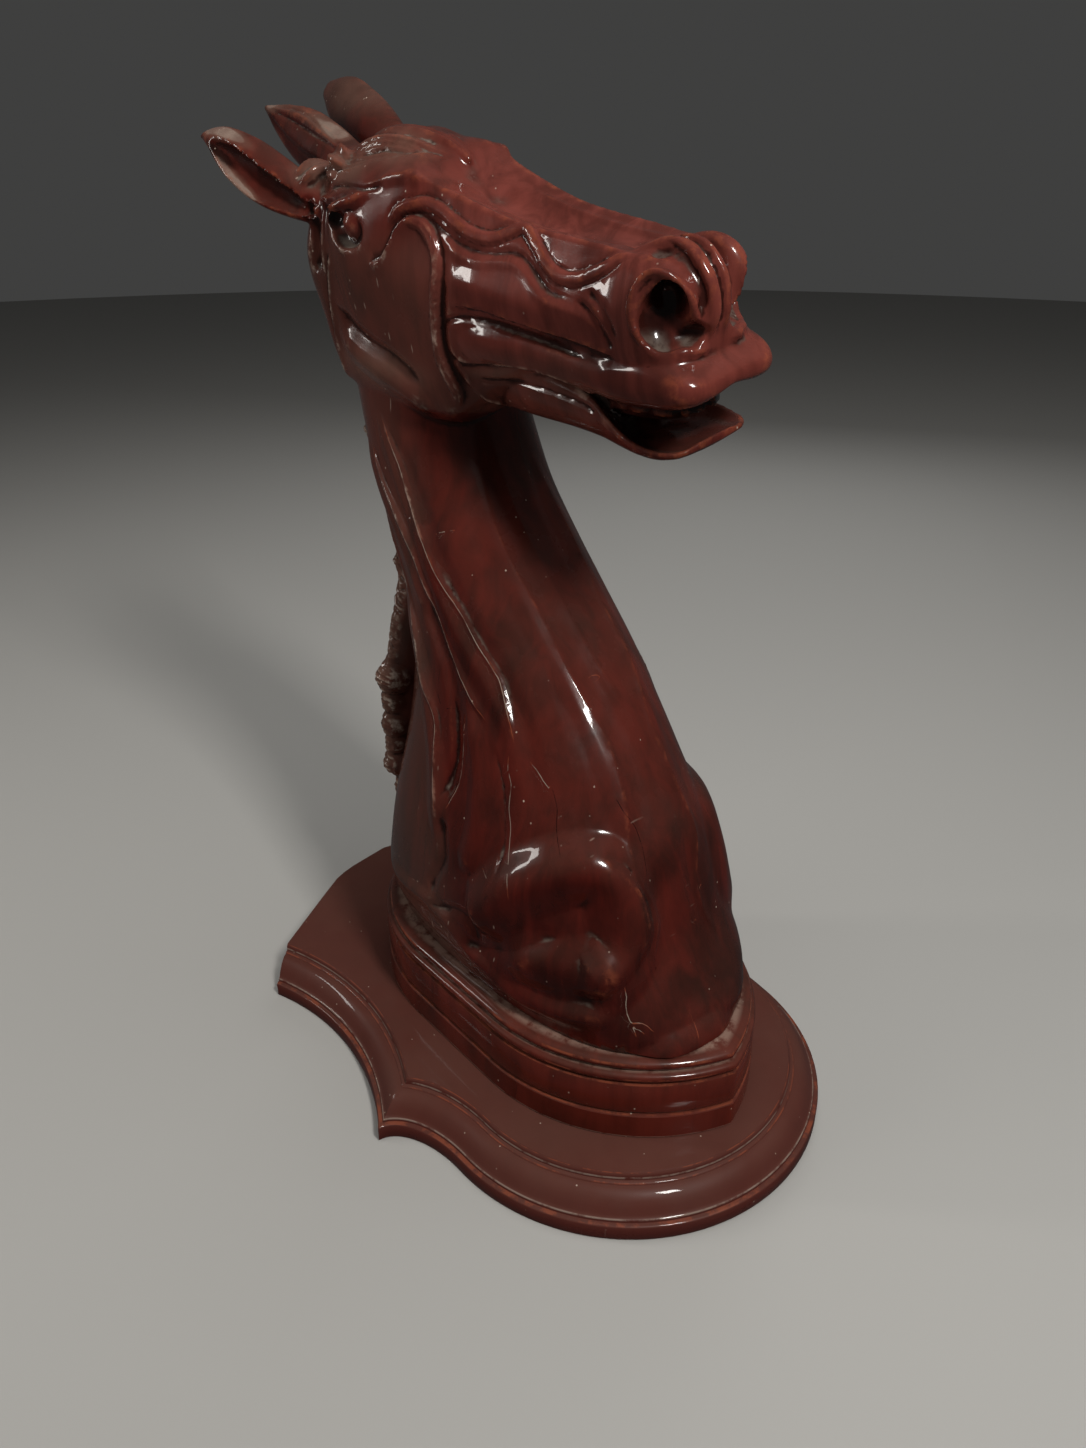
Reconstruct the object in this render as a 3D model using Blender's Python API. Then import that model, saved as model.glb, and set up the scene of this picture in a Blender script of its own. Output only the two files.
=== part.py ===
"""Carved wooden horse head and neck, standing on a moulded collar and a shield-shaped base board.

Metres, +Z up. The horse faces +X and its left side is +Y. The origin is on the floor, under the middle
of the base board's length. The head is carved with a slight tilt towards the horse's right.

Head sizes are given in the head's own frame: x forward, v to the horse's left and w up. The frame is
turned about a line along x at TILT_HEIGHT, so its x is the model's x.
"""

import math

import bmesh
import bpy
import numpy as np
from mathutils import Vector
from mathutils.bvhtree import BVHTree

# Base board: a half-round front, two cusps, two hollow sides and a blunt plain back
BOARD_HALF_LENGTH = 0.3705
BOARD_FRONT_CENTRE = 0.14
BOARD_CUSP = (0.0485, -0.2755)
BOARD_WAIST = (-0.1, -0.2275)
BOARD_HORN = (-0.2395, -0.2492)
BOARD_BACK = ((-0.2395, -0.2492), (-0.318, -0.135), (-0.353, -0.078), (-0.3705, 0.0))
BOARD_BAND = 0.019
BOARD_THICKNESS = 0.054
# Steps of the board's moulded edge, from the top of its band up: (inset, rise)
BOARD_MOULDING = ((0.004, 0.002), (0.007, 0.009), (0.012, 0.013), (0.008, 0.006), (0.003, 0.0))
BOARD_OVERCUT = 0.06

# Collar: flat sides and long arcs that meet in a point at the front and at the back
COLLAR_MIDDLE = 0.0305
COLLAR_HALF_LENGTH = 0.281
COLLAR_HALF_FLAT = 0.07
COLLAR_HALF_WIDTH = 0.159
# The collar's profile, from its foot up: (inset, height above the board)
COLLAR_PROFILE = ((0.0, 0.0), (0.0, 0.032), (0.003, 0.034), (0.003, 0.072), (0.001, 0.076),
                  (0.001, 0.082), (0.005, 0.087), (0.006, 0.094), (0.012, 0.099), (0.018, 0.100))
GAP = 0.0003
SHARP_ANGLE = math.radians(40.0)

# The carving
HEAD_TILT = math.radians(12.0)
TILT_HEIGHT = 0.86
FORM_VOXEL = 0.005
CARVING_TRIANGLES = 7600
CARVING_FOOT = BOARD_THICKNESS + GAP + COLLAR_PROFILE[-1][1] + GAP
SPAN_STEPS = 6

# Neck: height, back, front, half width, squareness (2 is an ellipse), sideways shift
NECK = (
    (0.080, -0.204, 0.266, 0.134, 2.6, 0.0),
    (0.158, -0.205, 0.272, 0.136, 2.6, 0.0),
    (0.178, -0.210, 0.267, 0.143, 2.6, 0.0),
    (0.200, -0.209, 0.254, 0.147, 2.7, 0.0),
    (0.250, -0.201, 0.227, 0.145, 2.6, 0.0),
    (0.300, -0.193, 0.213, 0.140, 2.5, 0.0),
    (0.350, -0.184, 0.197, 0.130, 2.4, 0.0),
    (0.400, -0.176, 0.168, 0.120, 2.3, 0.001),
    (0.450, -0.174, 0.135, 0.112, 2.2, 0.003),
    (0.500, -0.179, 0.094, 0.104, 2.2, 0.006),
    (0.550, -0.198, 0.042, 0.098, 2.2, 0.010),
    (0.600, -0.229, -0.010, 0.094, 2.2, 0.014),
    (0.650, -0.260, -0.056, 0.090, 2.2, 0.018),
    (0.700, -0.284, -0.084, 0.087, 2.2, 0.020),
    (0.760, -0.304, -0.098, 0.080, 2.2, 0.016),
    (0.820, -0.315, -0.110, 0.074, 2.2, 0.006),
    (0.880, -0.315, -0.140, 0.066, 2.2, -0.004),
    (0.930, -0.305, -0.170, 0.052, 2.2, -0.014),
)

# Head: x, then the half section's points (v, w): crown, face edge, cheek, its low swell, jowl and
# underside
HEAD = (
    (-0.295, (0.0, 0.945), (0.034, 0.935), (0.066, 0.892), (0.064, 0.840), (0.048, 0.792), (0.0, 0.780)),
    (-0.270, (0.0, 0.972), (0.048, 0.955), (0.084, 0.902), (0.085, 0.840), (0.072, 0.768), (0.0, 0.757)),
    (-0.235, (0.0, 0.984), (0.056, 0.966), (0.086, 0.905), (0.089, 0.840), (0.079, 0.755), (0.0, 0.745)),
    (-0.180, (0.0, 0.987), (0.060, 0.970), (0.088, 0.912), (0.091, 0.845), (0.081, 0.750), (0.0, 0.740)),
    (-0.130, (0.0, 0.982), (0.056, 0.968), (0.082, 0.908), (0.087, 0.845), (0.078, 0.746), (0.0, 0.736)),
    (-0.098, (0.0, 0.972), (0.052, 0.966), (0.076, 0.904), (0.083, 0.845), (0.075, 0.745), (0.0, 0.735)),
    (-0.078, (0.0, 0.949), (0.047, 0.953), (0.073, 0.900), (0.079, 0.845), (0.071, 0.749), (0.0, 0.739)),
    (-0.040, (0.0, 0.930), (0.043, 0.940), (0.067, 0.894), (0.072, 0.856), (0.058, 0.772), (0.0, 0.750)),
    (0.020, (0.0, 0.913), (0.038, 0.922), (0.060, 0.886), (0.066, 0.856), (0.050, 0.800), (0.0, 0.770)),
    (0.080, (0.0, 0.904), (0.035, 0.912), (0.054, 0.878), (0.059, 0.852), (0.046, 0.812), (0.0, 0.790)),
    (0.140, (0.0, 0.899), (0.033, 0.905), (0.052, 0.873), (0.055, 0.846), (0.048, 0.818), (0.0, 0.800)),
    (0.175, (0.0, 0.898), (0.033, 0.903), (0.055, 0.874), (0.056, 0.848), (0.050, 0.822), (0.0, 0.800)),
    (0.196, (0.0, 0.893), (0.031, 0.896), (0.047, 0.874), (0.048, 0.850), (0.046, 0.822), (0.0, 0.800)),
    (0.208, (0.0, 0.881), (0.025, 0.884), (0.034, 0.868), (0.036, 0.848), (0.036, 0.824), (0.0, 0.804)),
    (0.214, (0.0, 0.866), (0.014, 0.868), (0.018, 0.860), (0.019, 0.846), (0.020, 0.832), (0.0, 0.820)),
)

# Lower jaw, a scooped tray: x, then the half section's points (v, w): floor, its edge, rim, side, lower
# edge and underside
JAW = (
    (-0.060, (0.0, 0.820), (0.030, 0.818), (0.040, 0.812), (0.048, 0.785), (0.036, 0.756), (0.0, 0.750)),
    (0.000, (0.0, 0.815), (0.028, 0.814), (0.040, 0.808), (0.048, 0.783), (0.034, 0.752), (0.0, 0.746)),
    (0.060, (0.0, 0.795), (0.026, 0.795), (0.042, 0.793), (0.048, 0.776), (0.036, 0.749), (0.0, 0.744)),
    (0.100, (0.0, 0.771), (0.028, 0.773), (0.044, 0.783), (0.048, 0.770), (0.038, 0.747), (0.0, 0.741)),
    (0.125, (0.0, 0.752), (0.030, 0.754), (0.048, 0.770), (0.051, 0.762), (0.040, 0.744), (0.0, 0.739)),
    (0.150, (0.0, 0.747), (0.030, 0.748), (0.051, 0.759), (0.0535, 0.754), (0.042, 0.742), (0.0, 0.737)),
    (0.175, (0.0, 0.746), (0.030, 0.747), (0.050, 0.753), (0.0530, 0.749), (0.042, 0.742), (0.0, 0.737)),
    (0.192, (0.0, 0.750), (0.026, 0.749), (0.044, 0.752), (0.047, 0.749), (0.038, 0.744), (0.0, 0.741)),
    (0.201, (0.0, 0.754), (0.020, 0.754), (0.034, 0.752), (0.036, 0.749), (0.032, 0.747), (0.0, 0.746)),
)

# Upper lip and cheek bar, from the bar's rounded end to the lip's middle: points and (half width,
# half depth)
LIP_LINE = ((-0.062, 0.062, 0.824), (-0.020, 0.062, 0.826), (0.040, 0.058, 0.822), (0.100, 0.052, 0.812),
            (0.165, 0.049, 0.805), (0.210, 0.046, 0.804), (0.226, 0.030, 0.808), (0.230, 0.0, 0.811))
LIP_SIZES = ((0.012, 0.008), (0.017, 0.012), (0.017, 0.012), (0.016, 0.013), (0.015, 0.016),
             (0.014, 0.017), (0.012, 0.014), (0.012, 0.013))

# Nostrils: centre and radii of the bodies that hollow them out
NOSTRIL_PITS = (((0.205, 0.054, 0.864), (0.026, 0.022, 0.030)),
                ((0.192, 0.034, 0.868), (0.024, 0.014, 0.018)))

# Ears: side (-1 is the horse's right), middle line, (half width, half depth), the way their width lies and
# how their hollow is moved from the middle line
EARS = (
    (-1, ((-0.232, 0.060, 0.932), (-0.268, 0.074, 0.945), (-0.304, 0.085, 0.963), (-0.340, 0.091, 0.9835),
          (-0.373, 0.094, 1.0015), (-0.394, 0.097, 1.0075), (-0.409, 0.100, 1.009)),
     ((0.017, 0.014), (0.0225, 0.016), (0.0275, 0.017), (0.0265, 0.015), (0.018, 0.010), (0.009, 0.006),
      (0.002, 0.002)), (0.0, -0.78, 0.62), (0.005, 0.0113, 0.0022)),
    (1, ((-0.245, 0.045, 0.950), (-0.285, 0.052, 0.965), (-0.328, 0.062, 0.982), (-0.370, 0.072, 0.998),
         (-0.408, 0.079, 1.012), (-0.442, 0.082, 1.022)),
     ((0.014, 0.013), (0.024, 0.016), (0.029, 0.017), (0.029, 0.015), (0.026, 0.011), (0.010, 0.004)),
     (0.20, 0.70, 0.70), (-0.004, 0.010, -0.010)),
)
EAR_HOLLOW = (0.56, 0.56)

# The pointed lock of the crest between the ears
CREST_LINE = ((-0.240, 0.0, 0.955), (-0.285, 0.0, 0.957), (-0.325, 0.0, 0.970), (-0.365, 0.0, 0.987),
              (-0.405, 0.0, 1.003), (-0.443, 0.0, 1.019))
CREST_SIZES = ((0.018, 0.024), (0.024, 0.026), (0.029, 0.022), (0.028, 0.016), (0.018, 0.010),
               (0.002, 0.003))

# Forelock: each layer's middle line and (half width, half depth)
FORELOCK = (
    (((-0.222, -0.040, 0.966), (-0.180, -0.035, 0.978), (-0.136, -0.023, 0.978), (-0.095, -0.009, 0.967)),
     ((0.008, 0.006), (0.014, 0.009), (0.011, 0.008), (0.002, 0.002))),
    (((-0.225, 0.010, 0.974), (-0.180, 0.012, 0.982), (-0.130, 0.010, 0.979), (-0.086, 0.006, 0.964)),
     ((0.010, 0.024), (0.012, 0.030), (0.010, 0.022), (0.002, 0.002))),
)

# Rolled knobs of hair at the poll: centre and radius
KNOBS = (((-0.276, -0.058, 0.961), 0.019), ((-0.224, -0.051, 0.972), 0.017),
         ((-0.268, 0.050, 0.958), 0.018), ((-0.236, 0.036, 0.972), 0.014))

# Mane: height, its middle line at the back and its half width; and the height and size of its curls
MANE = ((0.255, -0.196, 0.062), (0.300, -0.211, 0.078), (0.360, -0.211, 0.083),
        (0.420, -0.210, 0.083), (0.480, -0.207, 0.075), (0.540, -0.216, 0.058),
        (0.600, -0.243, 0.048), (0.660, -0.272, 0.044), (0.720, -0.296, 0.043),
        (0.800, -0.316, 0.042), (0.890, -0.314, 0.038))
MANE_SETBACK = 0.018
MANE_HALF_DEPTH = 0.024
MANE_CURLS = ((0.424, 0.022), (0.363, 0.019), (0.312, 0.021), (0.277, 0.018), (0.490, 0.012), (0.560, 0.012),
              (0.640, 0.012), (0.735, 0.014))
CURL_SHARES = (-0.86, 0.0, 0.86)

# Carved lines, the same on both sides: view, half width, height (cuts are below 0) and points.
# Points are (x, w) on the head and, on the neck, (degrees round from the throat, height).
LINE_FADE = 0.15
LINES = (
    # brow and the edge of the face
    ("head", 0.016, 0.006, ((-0.225, 0.956), (-0.180, 0.962), (-0.130, 0.962), (-0.070, 0.950), (0.000, 0.932),
                            (0.090, 0.915))),
    # eye socket, eyeball and lower lid
    ("head", 0.022, -0.018, ((-0.210, 0.932), (-0.178, 0.925), (-0.148, 0.915))),
    ("head", 0.015, 0.014, ((-0.192, 0.929), (-0.177, 0.925), (-0.162, 0.920))),
    # hollow behind the eye
    ("head", 0.018, -0.010, ((-0.262, 0.945), (-0.256, 0.900), (-0.242, 0.850))),
    # winding vein
    ("head", 0.012, 0.005, ((-0.117, 0.922), (-0.095, 0.941), (-0.062, 0.937), (-0.027, 0.918), (0.006, 0.913),
                            (0.034, 0.917), (0.060, 0.903), (0.086, 0.886), (0.116, 0.886), (0.150, 0.900))),
    ("head", 0.012, -0.006, ((-0.060, 0.922), (-0.020, 0.900), (0.030, 0.897), (0.070, 0.877), (0.110, 0.868))),
    # edge of the jowl and the groove in front of it
    ("head", 0.014, 0.007, ((-0.093, 0.932), (-0.068, 0.915), (-0.064, 0.880), (-0.076, 0.830), (-0.072, 0.790),
                            (-0.050, 0.760))),
    ("head", 0.014, -0.008, ((-0.050, 0.900), (-0.050, 0.860), (-0.062, 0.825), (-0.052, 0.790),
                             (-0.032, 0.760))),
    # hollows above and below the cheek bar
    ("head", 0.013, -0.010, ((-0.060, 0.845), (-0.030, 0.852), (0.040, 0.842), (0.130, 0.826))),
    ("head", 0.012, -0.009, ((-0.058, 0.808), (0.000, 0.798), (0.070, 0.792), (0.115, 0.785))),
    # throat grooves and the long ridges beside them
    ("neck", 0.018, -0.009, ((16, 0.720), (18, 0.640), (18, 0.560), (15, 0.480), (9, 0.420), (12, 0.340),
                             (8, 0.260))),
    ("neck", 0.018, 0.005, ((26, 0.700), (26, 0.620), (22, 0.520), (15, 0.440), (19, 0.370), (17, 0.310))),
    # ridges and pockets that fan down the side of the neck
    ("neck", 0.020, 0.007, ((93, 0.730), (80, 0.650), (78, 0.560), (65, 0.500), (58, 0.440), (62, 0.360))),
    ("neck", 0.020, -0.008, ((80, 0.700), (70, 0.620), (68, 0.560), (55, 0.500), (50, 0.430), (52, 0.380))),
    ("neck", 0.020, -0.010, ((100, 0.560), (94, 0.480), (93, 0.420), (97, 0.345))),
    ("neck", 0.018, 0.007, ((116, 0.664), (99, 0.606), (90, 0.538), (84, 0.460), (86, 0.400), (90, 0.350))),
    ("neck", 0.018, 0.007, ((125, 0.560), (113, 0.461), (101, 0.407), (98, 0.350), (96, 0.290))),
    # chest scroll: its rolled ring, its hollow and the tongue inside
    ("neck", 0.036, 0.012, ((82, 0.222), (68, 0.280), (52, 0.328), (34, 0.334), (22, 0.300), (20, 0.262),
                            (30, 0.226), (46, 0.205))),
    ("neck", 0.026, -0.014, ((70, 0.240), (56, 0.278), (43, 0.292), (33, 0.272), (36, 0.245))),
    ("neck", 0.028, 0.010, ((64, 0.228), (52, 0.245), (45, 0.235))),
)


def clear_scene():
    """Remove whatever objects the scene holds."""
    for item in list(bpy.data.objects):
        bpy.data.objects.remove(item, do_unlink=True)


def lacquer(name, colour, roughness):
    """A lacquered wood material."""
    material = bpy.data.materials.new(name)
    material.use_nodes = True
    shader = material.node_tree.nodes["Principled BSDF"]
    shader.inputs["Base Color"].default_value = (*colour, 1.0)
    shader.inputs["Roughness"].default_value = roughness
    shader.inputs["Metallic"].default_value = 0.0
    material.diffuse_color = (*colour, 1.0)
    return material


def add_object(name, bm, material):
    """Turn a bmesh into an object of the scene."""
    bmesh.ops.recalc_face_normals(bm, faces=bm.faces[:])
    mesh = bpy.data.meshes.new(name)
    bm.to_mesh(mesh)
    bm.free()
    item = bpy.data.objects.new(name, mesh)
    bpy.context.scene.collection.objects.link(item)
    item.data.materials.append(material)
    return item


def shade_round(item):
    """Shade a piece smooth, with its arrises kept sharp."""
    item.data.shade_smooth()
    item.data.set_sharp_from_angle(angle=SHARP_ANGLE)


def apply_modifiers(item):
    """Replace the object's mesh by its evaluated one and drop its modifiers."""
    graph = bpy.context.evaluated_depsgraph_get()
    mesh = bpy.data.meshes.new_from_object(item.evaluated_get(graph))
    item.modifiers.clear()
    item.data = mesh


def make_cutter(name, bm):
    """An object that only cuts others."""
    cutter = add_object(name, bm, None)
    cutter.hide_render = True
    cutter.display_type = "WIRE"
    return cutter


# Curves and lofts


def smooth_points(points, steps, closed=False):
    """Points along a Catmull-Rom curve through the given points, `steps` for each span."""
    row = np.array(points, dtype=float)
    if closed:
        row = np.vstack([row[-1:], row, row[:2]])
    else:
        row = np.vstack([2 * row[0] - row[1], row, 2 * row[-1] - row[-2]])
    t = np.linspace(0.0, 1.0, steps, endpoint=False)[:, None]
    spans = []
    for a, b, c, d in zip(row, row[1:], row[2:], row[3:]):
        spans.append(0.5 * (2 * b + (c - a) * t + (2 * a - 5 * b + 4 * c - d) * t ** 2
                            + (3 * b - a - 3 * c + d) * t ** 3))
    if not closed:
        spans.append(row[-2:-1])
    return np.vstack(spans)


def tilt(points):
    """Turn points of the head's own frame (x, v, w) into the model's frame."""
    points = np.atleast_2d(points)
    v = points[:, 1]
    w = points[:, 2] - TILT_HEIGHT
    y = v * math.cos(HEAD_TILT) - w * math.sin(HEAD_TILT)
    z = TILT_HEIGHT + v * math.sin(HEAD_TILT) + w * math.cos(HEAD_TILT)
    return np.column_stack([points[:, 0], y, z])


def loft(bm, rings):
    """Bridge closed rings of points into one closed body."""
    loops = []
    for ring in rings:
        verts = [bm.verts.new(point) for point in ring]
        loops.append([bm.edges.new((verts[i - 1], verts[i])) for i in range(len(verts))])
    for first, second in zip(loops, loops[1:]):
        bmesh.ops.bridge_loops(bm, edges=first + second)
    for end in (loops[0], loops[-1]):
        bmesh.ops.contextual_create(bm, geom=end)


def half_section_rings(stations):
    """Rings of a body given by its half sections at stations along x, in the head's frame."""
    rows = [[x, *(value for point in half for value in point)] for x, *half in stations]
    rings = []
    for row in smooth_points(rows, SPAN_STEPS):
        half = row[1:].reshape(-1, 2)
        outline = np.vstack([half, half[-2:0:-1] * (-1, 1)])
        outline = smooth_points(outline, SPAN_STEPS, closed=True)
        rings.append(tilt(np.column_stack([np.full(len(outline), row[0]), outline])))
    return rings


def neck_rings(sides=48):
    """Level rings of the neck, from its foot up into the head."""
    turn = np.linspace(0.0, math.tau, sides, endpoint=False)
    rings = []
    for height, back, front, half_width, square, shift in smooth_points(NECK, SPAN_STEPS):
        cosine = np.sign(np.cos(turn)) * np.abs(np.cos(turn)) ** (2 / square)
        sine = np.sign(np.sin(turn)) * np.abs(np.sin(turn)) ** (2 / square)
        x = (back + front) / 2 + (front - back) / 2 * cosine
        rings.append(np.column_stack([x, shift + half_width * sine, np.full(sides, height)]))
    return rings


def sweep_rings(path, sizes, across, sides=16):
    """Oval rings along a smooth path; sizes are (half width, half depth), width lying along `across`."""
    centres = smooth_points(path, SPAN_STEPS)
    halves = smooth_points(sizes, SPAN_STEPS)
    tangents = np.gradient(centres, axis=0)
    tangents /= np.linalg.norm(tangents, axis=1)[:, None]
    depth = np.cross(tangents, across)
    depth /= np.linalg.norm(depth, axis=1)[:, None]
    width = np.cross(depth, tangents)
    turn = np.linspace(0.0, math.tau, sides, endpoint=False)[:, None]
    rings = []
    for centre, half, wide, deep in zip(centres, halves, width, depth):
        rings.append(centre + half[0] * np.cos(turn) * wide + half[1] * np.sin(turn) * deep)
    return rings


def mirrored(points, side):
    """The points with v on the given side: 1 is the horse's left, -1 its right."""
    return np.array(points, dtype=float) * (1, side, 1)


# The carving's pieces of form


def add_rolled(bm, path, sizes, across):
    """Add a roll of the head, given in the head's frame."""
    loft(bm, [tilt(ring) for ring in sweep_rings(path, sizes, across)])


def add_lip(bm):
    """The rolled upper lip, which runs back along each cheek as a bar."""
    path = np.vstack([mirrored(LIP_LINE, 1), mirrored(LIP_LINE[-2::-1], -1)])
    add_rolled(bm, path, LIP_SIZES + LIP_SIZES[-2::-1], (0, 0, 1))


def add_hair(bm):
    """The crest's pointed lock, the forelock, the knobs beside it and the mane with its curls."""
    add_rolled(bm, CREST_LINE, CREST_SIZES, (0, 0.45, 1))
    for path, sizes in FORELOCK:
        add_rolled(bm, path, sizes, (0, 0.3, 1))
    for place, radius in KNOBS:
        knob = bmesh.ops.create_icosphere(bm, subdivisions=2, radius=radius)
        bmesh.ops.translate(bm, verts=knob["verts"], vec=Vector(tilt(place)[0]))
    heights, backs, widths = np.array(MANE).T
    neck_heights, neck_shifts = np.array(NECK)[:, 0], np.array(NECK)[:, 5]
    middle = np.column_stack([backs + MANE_SETBACK, np.interp(heights, neck_heights, neck_shifts), heights])
    halves = np.column_stack([widths, np.full(len(widths), MANE_HALF_DEPTH)])
    loft(bm, sweep_rings(middle, halves, (0, 1, 0), 24))
    for height, size in MANE_CURLS:
        back = np.interp(height, heights, backs)
        width = np.interp(height, heights, widths)
        shift = np.interp(height, neck_heights, neck_shifts)
        for share in CURL_SHARES:
            curl = bmesh.ops.create_icosphere(bm, subdivisions=2, radius=size)
            place = (back + MANE_SETBACK, shift + share * width, height)
            bmesh.ops.translate(bm, verts=curl["verts"], vec=place)


def hollows():
    """The bodies that hollow out both nostrils and both ears."""
    bm = bmesh.new()
    for side in (1, -1):
        for (x, v, w), radii in NOSTRIL_PITS:
            pit = bmesh.ops.create_icosphere(bm, subdivisions=2, radius=1.0)["verts"]
            bmesh.ops.scale(bm, verts=pit, vec=radii)
            bmesh.ops.translate(bm, verts=pit, vec=Vector(tilt((x, side * v, w))[0]))
    for side, path, sizes, across, shift in EARS:
        middle = mirrored(np.array(path[1:-1]) + shift, side)
        halves = np.array(sizes[1:-1]) * EAR_HOLLOW
        halves[-1] *= 0.5
        add_rolled(bm, middle, halves, across)
    return bm


def build_form(material):
    """Neck, head, jaw, lip, ears and hair as overlapping bodies, fused into one."""
    bm = bmesh.new()
    loft(bm, neck_rings())
    loft(bm, half_section_rings(HEAD))
    loft(bm, half_section_rings(JAW))
    add_lip(bm)
    for side, path, sizes, across, _ in EARS:
        add_rolled(bm, mirrored(path, side), sizes, across)
    add_hair(bm)
    form = add_object("carved_horse_head", bm, material)
    fuse(form, FORM_VOXEL, 4)
    return form


def fuse(item, voxel, smoothing):
    """Fuse an object's overlapping bodies into one even skin and soften it."""
    remesh = item.modifiers.new("fuse", "REMESH")
    remesh.mode = "VOXEL"
    remesh.voxel_size = voxel
    soften = item.modifiers.new("soften", "SMOOTH")
    soften.factor = 0.5
    soften.iterations = smoothing
    apply_modifiers(item)


# Carved lines


def surface_path(tree, points, view, side):
    """Drop a smooth line, drawn in a side, top or front view, onto the surface."""
    found = []
    for first, second in smooth_points(points, SPAN_STEPS):
        start, aim = VIEWS[view](first, second, side)
        hit = tree.ray_cast(start, aim)[0]
        if hit is not None:
            found.append(hit)
    return np.array(found)


def head_side(x, w, side):
    """A ray into the head's flank."""
    start, end = tilt([(x, side * 0.3, w), (x, 0.0, w)])
    return Vector(start), Vector(end - start)


def neck_side(angle, height, side):
    """A ray towards the neck's axis, at an angle in degrees round from the throat."""
    heights, backs, fronts, halves, _, shifts = np.array(NECK).T
    back, front, half, shift = (np.interp(height, heights, row) for row in (backs, fronts, halves, shifts))
    turn = math.radians(angle)
    out = Vector(((front - back) * math.cos(turn), side * 2 * half * math.sin(turn), 0.0))
    return Vector(((back + front) / 2, shift, height)) + out, -out


VIEWS = {"head": head_side, "neck": neck_side}


def carve(coords, normals, path, width, depth):
    """Raise (depth above 0) or cut (below 0) a soft-edged line along a path on the surface."""
    low = path.min(axis=0) - width
    high = path.max(axis=0) + width
    near = np.flatnonzero(np.all((coords > low) & (coords < high), axis=1))
    start = path[:-1]
    run = path[1:] - start
    away = coords[near][:, None, :] - start[None]
    along = np.clip((away * run).sum(axis=2) / (run ** 2).sum(axis=1), 0.0, 1.0)
    gap = np.linalg.norm(away - along[..., None] * run, axis=2)
    closest = gap.argmin(axis=1)
    rows = np.arange(len(near))
    reach = np.clip(1.0 - (gap[rows, closest] / width) ** 2, 0.0, 1.0) ** 2
    place = (closest + along[rows, closest]) / len(run)
    ends = np.clip(np.minimum(place, 1.0 - place) / LINE_FADE, 0.0, 1.0)
    coords[near] += normals[near] * (depth * reach * ends)[:, None]


def carve_lines(item):
    """Carve the long lines of the cheeks, eyes, neck and chest on both sides."""
    mesh = item.data
    count = len(mesh.vertices)
    coords = np.empty(count * 3)
    normals = np.empty(count * 3)
    mesh.vertices.foreach_get("co", coords)
    mesh.vertices.foreach_get("normal", normals)
    coords = coords.reshape(-1, 3)
    normals = normals.reshape(-1, 3)
    tree = BVHTree.FromPolygons([Vector(co) for co in coords], [list(face.vertices) for face in mesh.polygons])
    for view, width, depth, points in LINES:
        for side in (1, -1):
            path = surface_path(tree, points, view, side)
            if len(path) > 1:
                carve(coords, normals, path, width, depth)
    mesh.vertices.foreach_set("co", coords.ravel())
    mesh.update()


def cut_foot(item):
    """Cut the neck off flat where it stands on the collar."""
    bm = bmesh.new()
    bm.from_mesh(item.data)
    geometry = bm.verts[:] + bm.edges[:] + bm.faces[:]
    cut = bmesh.ops.bisect_plane(bm, geom=geometry, plane_co=(0, 0, CARVING_FOOT), plane_no=(0, 0, -1),
                                 clear_outer=True)
    rim = [part for part in cut["geom_cut"] if isinstance(part, bmesh.types.BMEdge)]
    bmesh.ops.edgeloop_fill(bm, edges=rim)
    bmesh.ops.triangulate(bm, faces=bm.faces[:])
    bm.to_mesh(item.data)
    bm.free()


def thin_out(item, triangles):
    """Reduce a mesh to about the given number of triangles."""
    item.data.calc_loop_triangles()
    fewer = item.modifiers.new("thin", "DECIMATE")
    fewer.ratio = triangles / len(item.data.loop_triangles)
    fewer.use_collapse_triangulate = True
    apply_modifiers(item)


def build_carving(material):
    """The carved horse head, cut from its form."""
    form = build_form(material)
    cutter = make_cutter("hollow_cutter", hollows())
    cut = form.modifiers.new("hollow", "BOOLEAN")
    cut.operation = "DIFFERENCE"
    # both meshes are closed, and the exact way leaves this many-bodied cut open
    cut.solver = "MANIFOLD"
    cut.object = cutter
    apply_modifiers(form)
    fuse(form, FORM_VOXEL, 1)
    carve_lines(form)
    thin_out(form, CARVING_TRIANGLES)
    cut_foot(form)
    shade_round(form)


# Collar and board


def arc_points(centre, radius, first, last, steps):
    """Points on an arc between two angles, ends included; radius may be a pair for an ellipse."""
    turn = np.linspace(first, last, steps)
    return np.column_stack([centre[0] + radius[0] * np.cos(turn), centre[1] + radius[1] * np.sin(turn)])


def collar_outline(inset, steps=13):
    """The collar's plan, moved inwards by an inset."""
    rise = COLLAR_HALF_LENGTH - COLLAR_HALF_FLAT
    radius = (rise ** 2 + COLLAR_HALF_WIDTH ** 2) / (2 * COLLAR_HALF_WIDTH)
    drop = radius - COLLAR_HALF_WIDTH
    end = math.asin(drop / (radius - inset))
    quarter = arc_points((COLLAR_HALF_FLAT, -drop), (radius - inset,) * 2, end, math.pi / 2, steps)
    half = np.vstack([quarter, quarter[::-1] * (-1, 1)])
    outline = np.vstack([half, half[-2:0:-1] * (1, -1)])
    return outline + (COLLAR_MIDDLE, 0.0)


def build_collar(material):
    """The boat-shaped moulded collar under the neck."""
    bm = bmesh.new()
    rings = []
    for inset, height in COLLAR_PROFILE:
        outline = collar_outline(inset)
        level = np.full(len(outline), BOARD_THICKNESS + GAP + height)
        rings.append(np.column_stack([outline, level]))
    loft(bm, rings)
    shade_round(add_object("moulded_collar", bm, material))


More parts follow.
